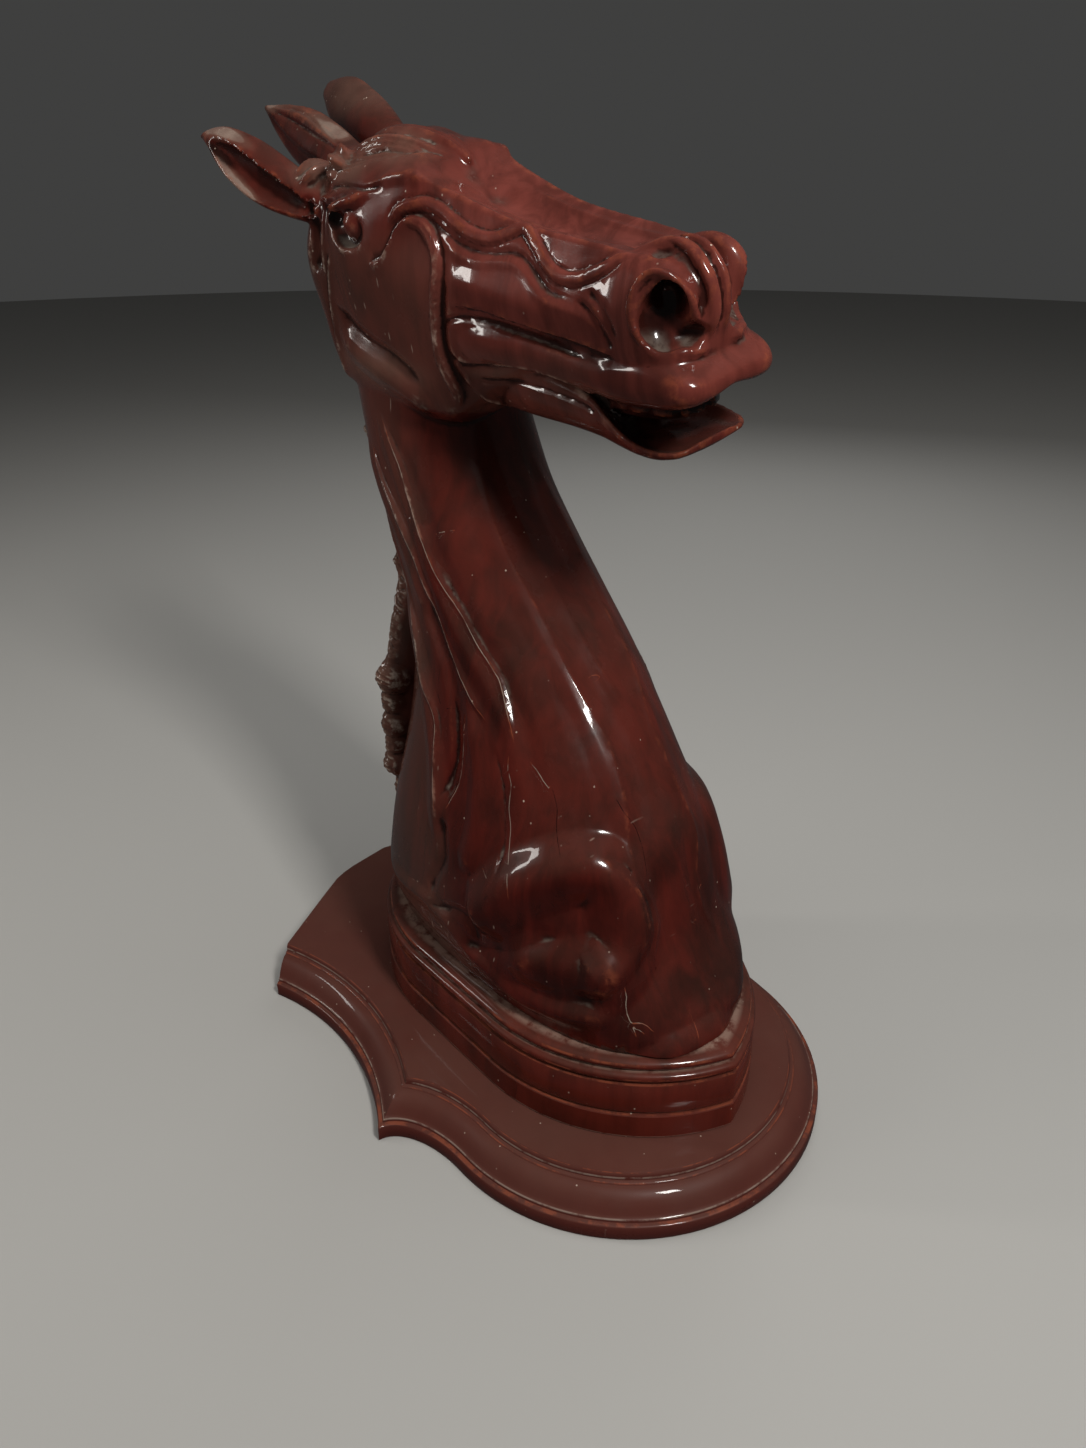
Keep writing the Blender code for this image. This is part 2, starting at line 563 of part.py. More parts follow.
def circle_through(first, middle, last):
    """Centre and radius of the circle through three points."""
    (ax, ay), (bx, by), (cx, cy) = first, middle, last
    rows = np.array([[bx - ax, by - ay], [cx - ax, cy - ay]])
    right = 0.5 * np.array([bx ** 2 - ax ** 2 + by ** 2 - ay ** 2, cx ** 2 - ax ** 2 + cy ** 2 - ay ** 2])
    centre = np.linalg.solve(rows, right)
    return centre, math.dist(centre, first)


def board_outline():
    """The board's plan, with its back left long for the plain cut."""
    centre, radius = circle_through(BOARD_HORN, BOARD_WAIST, BOARD_CUSP)
    ends = [math.atan2(y - centre[1], x - centre[0]) for x, y in (BOARD_HORN, BOARD_CUSP)]
    side = arc_points(centre, (radius, radius), *ends, 13)
    front_radius = BOARD_HALF_LENGTH - BOARD_FRONT_CENTRE
    cove_size = (BOARD_FRONT_CENTRE - BOARD_CUSP[0], -BOARD_CUSP[1] - front_radius)
    cove = arc_points((BOARD_FRONT_CENTRE, BOARD_CUSP[1]), cove_size, math.pi, math.pi / 2, 7)
    front = arc_points((BOARD_FRONT_CENTRE, 0.0), (front_radius,) * 2, -math.pi / 2, 0.0, 15)
    back = np.array([(-BOARD_HALF_LENGTH - BOARD_OVERCUT, 0.0),
                     (-BOARD_HALF_LENGTH - BOARD_OVERCUT, BOARD_HORN[1] - BOARD_OVERCUT / 2)])
    half = np.vstack([back, side, cove[1:], front[1:]])
    return np.vstack([half, half[-2:0:-1] * (1, -1)])


def back_cut_outline():
    """What the plain cut leaves of the board's plan."""
    bow = smooth_points(BOARD_BACK, SPAN_STEPS)
    far = np.array([(2 * BOARD_HALF_LENGTH, -2 * BOARD_HALF_LENGTH), (BOARD_HORN[0], -2 * BOARD_HALF_LENGTH)])
    half = np.vstack([far, bow])
    return np.vstack([half, half[-2::-1] * (1, -1)])


def flat_face(bm, outline, height):
    """One level face over an outline."""
    return bm.faces.new([bm.verts.new((x, y, height)) for x, y in outline])


def raise_face(bm, face, rise):
    """Extrude a level face upwards and return its copy at the top."""
    top = bmesh.ops.extrude_face_region(bm, geom=[face, *face.edges, *face.verts])["geom"]
    bmesh.ops.translate(bm, verts=[part for part in top if isinstance(part, bmesh.types.BMVert)],
                        vec=(0, 0, rise))
    return next(part for part in top if isinstance(part, bmesh.types.BMFace))


def build_board(material):
    """The shield-shaped base board with its moulded edge and plain back."""
    bm = bmesh.new()
    top = raise_face(bm, flat_face(bm, board_outline(), 0.0), BOARD_BAND)
    bm.normal_update()
    for inset, rise in BOARD_MOULDING:
        bmesh.ops.inset_region(bm, faces=[top], thickness=inset, depth=rise, use_even_offset=True)
    raise_face(bm, top, BOARD_THICKNESS - BOARD_BAND - sum(rise for _, rise in BOARD_MOULDING))
    board = add_object("base_board", bm, material)
    bm = bmesh.new()
    raise_face(bm, flat_face(bm, back_cut_outline(), -BOARD_THICKNESS), 3 * BOARD_THICKNESS)
    cut = board.modifiers.new("plain_back", "BOOLEAN")
    cut.operation = "INTERSECT"
    cut.solver = "EXACT"
    cut.object = make_cutter("back_cut", bm)
    shade_round(board)


def main():
    """Build the three pieces."""
    clear_scene()
    build_board(lacquer("board_lacquer", (0.075, 0.020, 0.014), 0.3))
    build_collar(lacquer("collar_lacquer", (0.085, 0.020, 0.013), 0.28))
    build_carving(lacquer("carving_lacquer", (0.115, 0.022, 0.014), 0.2))


main()
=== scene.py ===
"""Looks of the carved wooden horse head, its moulded collar and its base board.

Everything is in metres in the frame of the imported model, but for the tables that say millimetres: the
horse faces +X, its left side is +Y and +Z is up. The head is carved tilted to its right. Its sizes are
given in the head's own frame, (x, v, w): forward, to the horse's left and up, turned about a line along x
at the height HEAD_PIVOT.
"""

import functools
import logging
import math
from dataclasses import dataclass, field
from enum import Enum

import bmesh
import bpy
import numpy as np
from mathutils import Matrix, Vector
from mathutils.bvhtree import BVHTree


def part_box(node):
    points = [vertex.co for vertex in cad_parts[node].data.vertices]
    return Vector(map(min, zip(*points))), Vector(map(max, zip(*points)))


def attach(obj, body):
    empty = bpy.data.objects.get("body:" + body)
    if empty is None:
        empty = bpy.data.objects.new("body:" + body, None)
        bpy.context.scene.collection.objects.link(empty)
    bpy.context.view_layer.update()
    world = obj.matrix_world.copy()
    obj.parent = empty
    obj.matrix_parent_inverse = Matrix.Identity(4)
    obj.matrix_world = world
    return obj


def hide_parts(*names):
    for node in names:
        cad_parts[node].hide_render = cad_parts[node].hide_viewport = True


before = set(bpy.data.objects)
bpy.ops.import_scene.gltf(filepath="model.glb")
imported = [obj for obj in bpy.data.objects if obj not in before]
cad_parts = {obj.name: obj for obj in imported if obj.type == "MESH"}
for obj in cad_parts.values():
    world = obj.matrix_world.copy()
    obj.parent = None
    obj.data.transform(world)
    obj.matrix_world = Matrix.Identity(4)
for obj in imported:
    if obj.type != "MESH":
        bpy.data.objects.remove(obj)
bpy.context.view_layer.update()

LOG = logging.getLogger("horse_head")
BODY = "root"
MM = 0.001
MM_IN_M = 1000

HEAD_TILT = math.radians(12.0)
HEAD_PIVOT = 0.86

Points = tuple[tuple[float, ...], ...]
Place = tuple[float, float, float]
BMesh = bmesh.types.BMesh
Item = bpy.types.Object


# Curves, rings and lofts


def smooth_points(points: np.ndarray | Points, steps: int, closed: bool = False) -> np.ndarray:
    """Points along a Catmull-Rom curve through the given points.

    Args:
        points: the points or rows of values that the curve goes through.
        steps: how many points for each span.
        closed: whether the last point leads back to the first.

    Returns:
        One row for each point.
    """
    row = np.array(points, dtype=float)
    if closed:
        row = np.vstack([row[-1:], row, row[:2]])
    else:
        row = np.vstack([2 * row[0] - row[1], row, 2 * row[-1] - row[-2]])
    t = np.linspace(0.0, 1.0, steps, endpoint=False)[:, None]
    spans = []
    for a, b, c, d in zip(row, row[1:], row[2:], row[3:]):
        spans.append(0.5 * (2 * b + (c - a) * t + (2 * a - 5 * b + 4 * c - d) * t ** 2
                            + (3 * b - a - 3 * c + d) * t ** 3))
    if not closed:
        spans.append(row[-2:-1])
    return np.vstack(spans)


def from_head(points: np.ndarray | Points) -> np.ndarray:
    """Turn points of the head's own frame into the model's frame.

    Args:
        points: one (x, v, w) point or rows of them.

    Returns:
        Rows of (x, y, z).
    """
    points = np.atleast_2d(np.array(points, dtype=float))
    v = points[:, 1]
    w = points[:, 2] - HEAD_PIVOT
    y = v * math.cos(HEAD_TILT) - w * math.sin(HEAD_TILT)
    z = HEAD_PIVOT + v * math.sin(HEAD_TILT) + w * math.cos(HEAD_TILT)
    return np.column_stack([points[:, 0], y, z])


def to_head(points: np.ndarray) -> np.ndarray:
    """Turn points of the model's frame into the head's own frame.

    Args:
        points: rows of (x, y, z).

    Returns:
        Rows of (x, v, w).
    """
    cosine, sine = math.cos(HEAD_TILT), math.sin(HEAD_TILT)
    rise = points[:, 2] - HEAD_PIVOT
    return np.column_stack([points[:, 0], points[:, 1] * cosine + rise * sine,
                            HEAD_PIVOT - points[:, 1] * sine + rise * cosine])


def loft(bm: BMesh, rings: list[np.ndarray]) -> None:
    """Bridge closed rings of points into one closed body.

    Args:
        bm: the mesh to add to.
        rings: rings of one length, from one end of the body to the other.
    """
    body = bmesh.new()
    loops = []
    for ring in rings:
        verts = [body.verts.new(point) for point in ring]
        loops.append([body.edges.new((verts[i - 1], verts[i])) for i in range(len(verts))])
    for first, second in zip(loops, loops[1:]):
        bmesh.ops.bridge_loops(body, edges=first + second)
    for end in (loops[0], loops[-1]):
        bmesh.ops.contextual_create(body, geom=end)
    bmesh.ops.recalc_face_normals(body, faces=body.faces[:])
    # a body of its own is quick to bridge; it joins the rest as a whole
    joined = bpy.data.meshes.new("body")
    body.to_mesh(joined)
    body.free()
    bm.from_mesh(joined)
    bpy.data.meshes.remove(joined)


def sweep(path: np.ndarray | Points, sizes: np.ndarray | Points, across: Place,
          sides: int = 20, steps: int = 8, flute: tuple[int, float] = (0, 0.0)) -> list[np.ndarray]:
    """Oval rings along a smooth path.

    Args:
        path: the centre line.
        sizes: (half width, half depth) at each point of the path.
        across: the direction that the width lies along.
        sides: points in a ring.
        steps: rings for each span of the path.
        flute: number and relative depth of the flutes round a ring.

    Returns:
        The rings, in the path's own frame.
    """
    centres = smooth_points(path, steps)
    halves = smooth_points(sizes, steps)
    tangents = np.gradient(centres, axis=0)
    tangents /= np.linalg.norm(tangents, axis=1)[:, None]
    depth = np.cross(tangents, across)
    depth /= np.linalg.norm(depth, axis=1)[:, None]
    width = np.cross(depth, tangents)
    turn = np.linspace(0.0, math.tau, sides, endpoint=False)[:, None]
    swell = 1.0 + flute[1] * np.cos(flute[0] * turn)
    rings = []
    for centre, half, wide, deep in zip(centres, halves, width, depth):
        rings.append(centre + swell * (half[0] * np.cos(turn) * wide + half[1] * np.sin(turn) * deep))
    return rings


def on_side(points: np.ndarray | Points, side: int) -> np.ndarray:
    """The points with v on the given side: 1 is the horse's left, -1 its right."""
    return np.array(points, dtype=float) * (1, side, 1)


# Objects and modifiers


def make_object(name: str, bm: BMesh) -> Item:
    """Turn a bmesh into an object of the scene, with its faces outwards.

    Args:
        name: the object's name.
        bm: its mesh, which is freed.

    Returns:
        The object, at the origin.
    """
    bmesh.ops.recalc_face_normals(bm, faces=bm.faces[:])
    mesh = bpy.data.meshes.new(name)
    bm.to_mesh(mesh)
    bm.free()
    item = bpy.data.objects.new(name, mesh)
    bpy.context.scene.collection.objects.link(item)
    return item


def apply_modifiers(item: Item) -> None:
    """Replace an object's mesh by its evaluated one and drop its modifiers.

    Args:
        item: the object.
    """
    graph = bpy.context.evaluated_depsgraph_get()
    mesh = bpy.data.meshes.new_from_object(item.evaluated_get(graph))
    item.modifiers.clear()
    item.data = mesh


def fuse(item: Item, voxel: float, factor: float, repeats: int) -> None:
    """Fuse an object's overlapping bodies into one even skin and soften it.

    Args:
        item: the object.
        voxel: the skin's mesh width.
        factor: how far each smoothing moves a point.
        repeats: how often it is smoothed.
    """
    remesh = item.modifiers.new("fuse", "REMESH")
    remesh.mode = "VOXEL"
    remesh.voxel_size = voxel
    remesh.adaptivity = 0.0
    soften = item.modifiers.new("soften", "SMOOTH")
    soften.factor = factor
    soften.iterations = repeats
    apply_modifiers(item)


def cut_away(item: Item, bm: BMesh) -> None:
    """Cut another closed body out of an object.

    Args:
        item: the object.
        bm: the other body, which is freed.
    """
    tool = make_object(item.name + "_tool", bm)
    step = item.modifiers.new("shape", "BOOLEAN")
    step.operation = "DIFFERENCE"
    step.solver = "MANIFOLD"
    step.object = tool
    apply_modifiers(item)
    bpy.data.objects.remove(tool, do_unlink=True)


def thin_out(item: Item, triangles: int) -> None:
    """Reduce a mesh that has more triangles than it may have.

    Args:
        item: the object.
        triangles: about how many triangles it may keep.
    """
    item.data.calc_loop_triangles()
    count = len(item.data.loop_triangles)
    if count > triangles:
        fewer = item.modifiers.new("thin", "DECIMATE")
        fewer.ratio = triangles / count
        fewer.use_collapse_triangulate = True
        apply_modifiers(item)


def read_vectors(mesh: bpy.types.Mesh, what: str) -> np.ndarray:
    """Read one vector for each of a mesh's points.

    Args:
        mesh: the mesh.
        what: co for the places, normal for the normals.

    Returns:
        One row for each point.
    """
    values = np.empty(len(mesh.vertices) * 3)
    mesh.vertices.foreach_get(what, values)
    return values.reshape(-1, 3)


def write_marks(mesh: bpy.types.Mesh, name: str, values: np.ndarray) -> None:
    """Give a mesh one value for each of its points, which its finish reads.

    Args:
        mesh: the mesh.
        name: the value's name.
        values: one number for each point.
    """
    attribute = mesh.attributes.new(name, "FLOAT", "POINT")
    attribute.data.foreach_set("value", values.astype(np.float32))


def ease(share: np.ndarray) -> np.ndarray:
    """Shares from 0 to 1, eased at both ends."""
    return share * share * (3 - 2 * share)


# Carving


class View(Enum):
    """How a stroke's points are laid on the form."""

    FLANK = "flank"  # (x, w) millimetres, seen from the head's side
    NECK = "neck"  # (degrees round from the throat, height in millimetres)
    FREE = "free"  # (x, v, w) millimetres, moved to the nearest point of the form
    MODEL = "model"  # (x, y, z) millimetres of the model's frame, moved likewise


class Cut(Enum):
    """A stroke's cross profile."""

    ROUND = "round"  # a soft-edged roll or hollow
    SHARP = "sharp"  # a crisp crest or crease with long soft sides
    CORD = "cord"  # a ribbon with steep sides, outlined by fine grooves
    STEP = "step"  # one side of the line stands above the other


def turned(points: Points, turn: float) -> Points:
    """Points of the neck moved round it by some degrees."""
    return tuple((angle + turn, height) for angle, height in points)


@dataclass(frozen=True)
class Stroke:
    """One long carved line."""

    view: View
    cut: Cut
    width: float
    depth: float
    points: Points
    sides: tuple[int, ...] = (1, -1)
    fade: float = 0.18


class Carver:
    """Carves strokes into an object's dense mesh."""

    SPAN_STEPS = 7  # points of a laid line for each span of its stroke
    PIECE = 8  # how many spans of a laid line are measured together
    RAY_START = 0.3  # how far from the head's middle a ray starts
    RAY_LENGTH = 0.275
    NARROWEST = 0.35  # share of its width that a stroke keeps at its ends
    STEP_BLUR = 0.0016  # how wide a step's edge is
    CORD_EDGE = (0.38, 0.32)  # where a cord's flank begins and how wide it is, in half widths
    CORD_GROOVE = (0.78, 0.12, 0.4)  # its groove's place, width and depth
    CORD_ARCH = 0.25
    CRACK_REACH = 0.007
    CRACK_ENDS = 8.0
    PAINTED_HIGHLIGHT_DEPTH = 2.0  # crests of the neck at least as deep get a pale painted highlight along them

    def __init__(self, item: Item, neck: np.ndarray) -> None:
        """Take up a mesh.

        Args:
            item: the object to carve.
            neck: the neck's stations, whose middle line the neck's strokes are laid round.
        """
        self.item = item
        self.neck = neck
        self.coords = read_vectors(item.data, "co")
        self.refresh()

    def refresh(self) -> None:
        """Write the carved shape into the mesh and read its new normals."""
        mesh = self.item.data
        mesh.vertices.foreach_set("co", self.coords.ravel())
        mesh.update()
        self.normals = read_vectors(mesh, "normal")
        bpy.context.view_layer.update()
        self.tree = BVHTree.FromObject(self.item, bpy.context.evaluated_depsgraph_get())

    def lay(self, stroke: Stroke, side: int) -> tuple[np.ndarray, np.ndarray]:
        """Lay a stroke's line on the form.

        Args:
            stroke: the stroke.
            side: 1 for the horse's left, -1 for its right.

        Returns:
            The line's points and the form's normals there.
        """
        places = []
        normals = []
        for point in smooth_points(stroke.points, self.SPAN_STEPS):
            if stroke.view is View.MODEL:
                place, normal = self.tree.find_nearest(Vector(point * MM))[:2]
            elif stroke.view is View.FREE:
                place, normal = self.tree.find_nearest(Vector(from_head(point * (1, side, 1) * MM)[0]))[:2]
            else:
                start, aim = self.ray(stroke.view, point, side)
                place, normal = self.tree.ray_cast(start, aim, self.RAY_LENGTH)[:2]
            if place is not None:
                places.append(place)
                normals.append(normal)
        return np.array(places), np.array(normals)

    def ray(self, view: View, point: np.ndarray, side: int) -> tuple[Vector, Vector]:
        """A ray into the head's flank, or from outside towards the neck's middle line.

        Args:
            view: View.FLANK or View.NECK.
            point: the stroke's point in that view.
            side: 1 for the horse's left, -1 for its right.

        Returns:
            The ray's start and its direction.
        """
        if view is View.FLANK:
            x, w = point * MM
            start, end = from_head([(x, side * self.RAY_START, w), (x, 0.0, w)])
            return Vector(start), Vector(end - start)
        turn = math.radians(point[0])
        height = point[1] * MM
        back, front, half, shift = (np.interp(height, self.neck[:, 0], self.neck[:, column])
                                    for column in (1, 2, 3, 5))
        out = Vector(((front - back) * math.cos(turn), side * 2 * half * math.sin(turn), 0.0))
        return Vector(((back + front) / 2, shift, height)) + out, -out

    def measure(self, places: np.ndarray, reach: float) -> tuple[np.ndarray, ...]:
        """Measure the mesh's points against a line.

        Args:
            places: the line's points.
            reach: how far from the line points matter.

        Returns:
            The indices of the points near the line, their distance from it, their place along it from 0
            to 1, the line's direction beside each and the way from the line to each.
        """
        low = places.min(axis=0) - reach
        high = places.max(axis=0) + reach
        near = np.flatnonzero(np.all((self.coords > low) & (self.coords < high), axis=1))
        start = places[:-1]
        run = places[1:] - start
        length = np.maximum((run ** 2).sum(axis=1), 1e-12)
        best = np.full(len(near), np.inf)
        place = np.zeros(len(near))
        along = np.zeros((len(near), 3))
        away = np.zeros((len(near), 3))
        for first in range(0, len(run), self.PIECE):
            piece = places[first:first + self.PIECE + 1]
            low = piece.min(axis=0) - reach
            high = piece.max(axis=0) + reach
            spots = self.coords[near]
            local = np.flatnonzero(np.all((spots > low) & (spots < high), axis=1))
            spots = spots[local]
            for index in range(first, min(first + self.PIECE, len(run))):
                offset = spots - start[index]
                share = np.clip(offset @ run[index] / length[index], 0.0, 1.0)
                offset -= share[:, None] * run[index]
                gap = np.einsum("ij,ij->i", offset, offset)
                closer = gap < best[local]
                chosen = local[closer]
                best[chosen] = gap[closer]
                place[chosen] = (index + share[closer]) / len(run)
                along[chosen] = run[index]
                away[chosen] = offset[closer]
        gap = np.sqrt(best)
        keep = gap < reach
        return near[keep], gap[keep], place[keep], along[keep], away[keep]

    @staticmethod
    def normals_along(normals: np.ndarray, place: np.ndarray) -> np.ndarray:
        """The form's normals on a line, beside each point at a place along it."""
        return normals[np.minimum((place * (len(normals) - 1)).astype(int), len(normals) - 1)]

    def carve(self, stroke: Stroke) -> None:
        """Carve one stroke on each of its sides.

        Args:
            stroke: the stroke.
        """
        width = stroke.width * MM
        for side in stroke.sides:
            places, normals = self.lay(stroke, side)
            if len(places) < 2:
                continue
            near, gap, place, along, away = self.measure(places, width)
            ends = ease(np.clip(np.minimum(place, 1.0 - place) / stroke.fade, 0.0, 1.0))
            u = np.clip(gap / (width * (self.NARROWEST + (1.0 - self.NARROWEST) * ends)), 0.0, 1.0)
            # leave alone what faces another way, such as the far wall of a thin ear
            mean = self.normals_along(normals, place)
            facing = np.clip(np.einsum("ij,ij->i", mean, self.normals[near]) * 2.0, 0.0, 1.0)
            lift = self.profile(stroke.cut, u, side * np.cross(along, away), mean, gap)
            self.coords[near] += self.normals[near] * (stroke.depth * MM * lift * ends * facing)[:, None]

    def profile(self, cut: Cut, u: np.ndarray, turn: np.ndarray, mean: np.ndarray,
                gap: np.ndarray) -> np.ndarray:
        """How high a profile stands beside its line.

        Args:
            cut: the profile.
            u: distance from the line over the profile's half width.
            turn: the line's direction crossed with the way to each point.
            mean: the form's normal on the line.
            gap: distance from the line.

        Returns:
            Heights, 1 at the line.
        """
        if cut is Cut.ROUND:
            return (1 - u ** 2) ** 2
        if cut is Cut.SHARP:
            return (1 - u) ** 2 * (1 + u)
        if cut is Cut.CORD:
            edge, flank = self.CORD_EDGE
            place, width, depth = self.CORD_GROOVE
            body = 1 - ease(np.clip((u - edge) / flank, 0.0, 1.0))
            return body * (1 - self.CORD_ARCH * u ** 2) - depth * np.exp(-((u - place) / width) ** 2)
        side = np.sign(np.einsum("ij,ij->i", turn, mean))
        blend = np.clip(gap / self.STEP_BLUR, 0.0, 1.0) * side
        return 0.5 * blend * (1 - u) ** 2

    def mark_cracks_and_highlights(self) -> None:
        """Mark the cracks and the painted highlights along the neck's crests: a point's side of the
        nearest one, and its tone.
        """
        sides = np.full(len(self.coords), 10 * self.CRACK_REACH)
        tones = np.zeros(len(self.coords))
        nearest = np.full(len(self.coords), np.inf)
        # pale painted highlights along the neck's deeper crests, laid like dust-filled cracks
        painted_highlights = [Crack(1.0, stroke.points) for stroke in STROKES_LINE if stroke.view is View.NECK
                   and stroke.cut is Cut.SHARP and stroke.depth >= self.PAINTED_HIGHLIGHT_DEPTH]
        for crack in (*CRACKS, *painted_highlights):
            places, normals = self.lay(Stroke(View.NECK, Cut.SHARP, 0.0, 0.0, crack.points), -1)
            near, gap, place, along, away = self.measure(places, self.CRACK_REACH)
            mean = self.normals_along(normals, place)
            side = gap * np.sign(np.einsum("ij,ij->i", np.cross(along, away), mean))
            ends = np.clip(np.minimum(place, 1.0 - place) * self.CRACK_ENDS, 0.0, 1.0)
            closer = gap < nearest[near]
            chosen = near[closer]
            nearest[chosen] = gap[closer]
            sides[chosen] = side[closer]
            tones[chosen] = crack.tone * ends[closer]
        write_marks(self.item.data, "crack_and_highlight_side", sides)
        write_marks(self.item.data, "crack_and_highlight_tone", tones)

    def smooth(self, factor: float, repeats: int) -> None:
        """Even out the mesh's points a little.

        Args:
            factor: how far each round moves a point towards its neighbours.
            repeats: how many rounds.
        """
        soften = self.item.modifiers.new("soften", "SMOOTH")
        soften.factor = factor
        soften.iterations = repeats
        self.refresh()
        apply_modifiers(self.item)
        self.coords = read_vectors(self.item.data, "co")
        self.refresh()


# The carving's form


NECK = (  # height, back, front, half width, squareness, sideways shift
    (0.08, -0.204, 0.266, 0.134, 2.6, 0.0),
    (0.158, -0.205, 0.272, 0.136, 2.6, 0.0),
    (0.178, -0.21, 0.267, 0.143, 2.6, 0.0),
    (0.2, -0.209, 0.254, 0.147, 2.7, 0.0),
    (0.25, -0.201, 0.227, 0.145, 2.6, 0.0),
    (0.3, -0.193, 0.213, 0.14, 2.5, 0.0),
    (0.35, -0.184, 0.197, 0.13, 2.4, 0.0),
    (0.4, -0.176, 0.168, 0.12, 2.3, 0.001),
    (0.45, -0.174, 0.135, 0.112, 2.2, 0.003),
    (0.5, -0.179, 0.094, 0.104, 2.2, 0.006),
    (0.55, -0.198, 0.042, 0.098, 2.2, 0.01),
    (0.6, -0.229, -0.01, 0.094, 2.2, 0.014),
    (0.65, -0.26, -0.056, 0.09, 2.2, 0.018),
    (0.7, -0.284, -0.084, 0.087, 2.2, 0.02),
    (0.76, -0.304, -0.098, 0.08, 2.2, 0.016),
    (0.82, -0.315, -0.11, 0.074, 2.2, 0.006),
    (0.88, -0.315, -0.14, 0.066, 2.2, -0.004),
    (0.93, -0.305, -0.17, 0.052, 2.2, -0.014),
)
# Half sections in millimetres: x, then the points (v, w) of crown, face edge, cheek, its low swell, jowl
# and underside
HEAD = (
    (-295, (0, 945), (34, 935), (66, 892), (64, 840), (48, 792), (0, 780)),
    (-270, (0, 972), (48, 955), (84, 902), (85, 840), (72, 768), (0, 757)),
    (-235, (0, 984), (56, 966), (86, 905), (89, 840), (79, 755), (0, 745)),
    (-180, (0, 987), (60, 970), (88, 912), (91, 845), (81, 750), (0, 740)),
    (-130, (0, 982), (56, 968), (82, 908), (87, 845), (78, 746), (0, 736)),
    (-98, (0, 972), (52, 966), (76, 904), (83, 845), (75, 745), (0, 735)),
    (-78, (0, 949), (47, 953), (73, 900), (79, 845), (71, 749), (0, 739)),
    (-40, (0, 930), (43, 940), (67, 894), (72, 856), (58, 772), (0, 750)),
    (20, (0, 913), (38, 922), (60, 886), (66, 856), (50, 800), (0, 770)),
    (80, (0, 904), (35, 912), (54, 878), (59, 852), (46, 812), (0, 790)),
    (140, (0, 899), (33, 905), (52, 873), (55, 846), (48, 818), (0, 800)),
    (175, (0, 898), (33, 903), (55, 874), (56, 848), (50, 822), (0, 800)),
    (196, (0, 893), (31, 896), (47, 874), (48, 850), (46, 822), (0, 800)),
    (208, (0, 881), (25, 884), (34, 868), (36, 848), (36, 824), (0, 804)),
    (214, (0, 866), (14, 868), (18, 860), (19, 846), (20, 832), (0, 820)),
)
# Likewise: floor, its edge, rim inside, rim, side, lower edge, underside
JAW = (
    (-60, (0, 820), (20, 820), (30, 818), (40, 808), (48, 785), (36, 756), (0, 750)),
    (0, (0, 815), (20, 815), (32, 812), (42, 804), (49, 783), (36, 751), (0, 746)),
    (60, (0, 795), (20, 795), (32, 796), (42, 793), (48, 776), (36, 749), (0, 744)),
    (100, (0, 772), (20, 772), (34, 778), (44, 783), (48, 770), (38, 747), (0, 741)),
    (125, (0, 752), (24, 752), (38, 760), (48, 770), (51, 762), (40, 744), (0, 739)),
    (150, (0, 747), (26, 747), (40, 750), (51, 759), (53.5, 754), (42, 742), (0, 737)),
    (175, (0, 746), (26, 746), (38, 747), (50, 753), (53, 749), (42, 742), (0, 737)),
    (192, (0, 750), (22, 749), (33, 749), (44, 752), (47, 749), (38, 744), (0, 741)),
    (201, (0, 754), (18, 754), (27, 753), (34, 752), (36, 749), (32, 747), (0, 746)),
)
LIP = (  # likewise: top, shoulder, side, lower side, inner edge, underside
    (75, (0, 828), (44, 827), (57, 817), (55, 805), (40, 797), (0, 800)),
    (110, (0, 828), (46, 827), (58, 815), (56, 799), (40, 791), (0, 797)),
    (150, (0, 830), (49, 828), (60, 813), (58, 795), (40, 787), (0, 796)),
    (190, (0, 832), (49, 829), (60, 812), (57, 795), (38, 789), (0, 797)),
    (212, (0, 826), (46, 823), (57, 810), (53, 796), (34, 792), (0, 798)),
    (224, (0, 818), (40, 816), (50, 808), (46, 798), (28, 796), (0, 800)),
    (230, (0, 811), (30, 811), (38, 807), (34, 802), (18, 801), (0, 803)),
)
PALATE = (  # the block behind the teeth, darkened by the mouth's painted shade
    (60, (0, 802), (24, 800), (28, 785), (24, 765), (0, 762)),
    (150, (0, 800), (26, 798), (29, 785), (25, 768), (0, 765)),
    (186, (0, 800), (18, 798), (21, 786), (18, 772), (0, 770)),
)
# Rolls laid along the head's middle or mirrored to both flanks, in millimetres: path in (x, v, w) and
# half sizes
CHEEK_BAR = (
    ((-62, 62, 824), (-40, 63, 825), (-10, 62, 826), (40, 57, 823), (90, 52, 816), (130, 50, 809),
     (170, 46, 808)), ((12, 7), (17, 10.5), (18, 11.5), (17, 11.5), (15.5, 11.5), (15, 11), (12, 8)),
)
NOSE_FOLDS = (
    # broad fold beside the near nostril
    (((145, -28, 901), (163, -19, 905), (177.4, -10, 908), (196.4, -8, 902), (210.4, -8, 886),
      (215, -8, 871), (215, -9, 855), (209, -13, 838)),
     ((3, 3), (5, 5), (7, 6), (8.5, 7.5), (8.5, 8.5), (8.5, 8.5), (7.5, 7.5), (4, 4))),
    # thin fold down the middle
    (((158, 6, 903), (181, 7, 908), (199, 7.5, 902), (212, 7.5, 886), (215.5, 7.5, 871), (215.5, 6, 854),
      (210, 3, 837)), ((2, 2), (4, 4), (5, 5), (5.5, 5.5), (5.5, 5.5), (5, 5), (3, 3))),
    # broad fold of the other side, hooked at its foot
    (((140, 28, 897), (165, 30, 899), (183, 31, 898.5), (197.5, 32.5, 892), (204, 35, 880), (207, 38, 867),
      (206.5, 39, 856), (199, 36, 845)),
     ((3, 3), (6, 6), (9, 9), (10.5, 10.5), (11.5, 11.5), (13, 13), (12.5, 12.5), (5, 5))),
)
NOSTRIL_RIM = (
    (186, 58, 842), (178, 59, 856), (175, 58, 872), (179, 52, 888), (190, 44, 897), (201, 36, 892),
    (209, 29, 879), (213, 23, 864), (213, 18, 850), (208, 18, 841), (205, 24, 838),
)
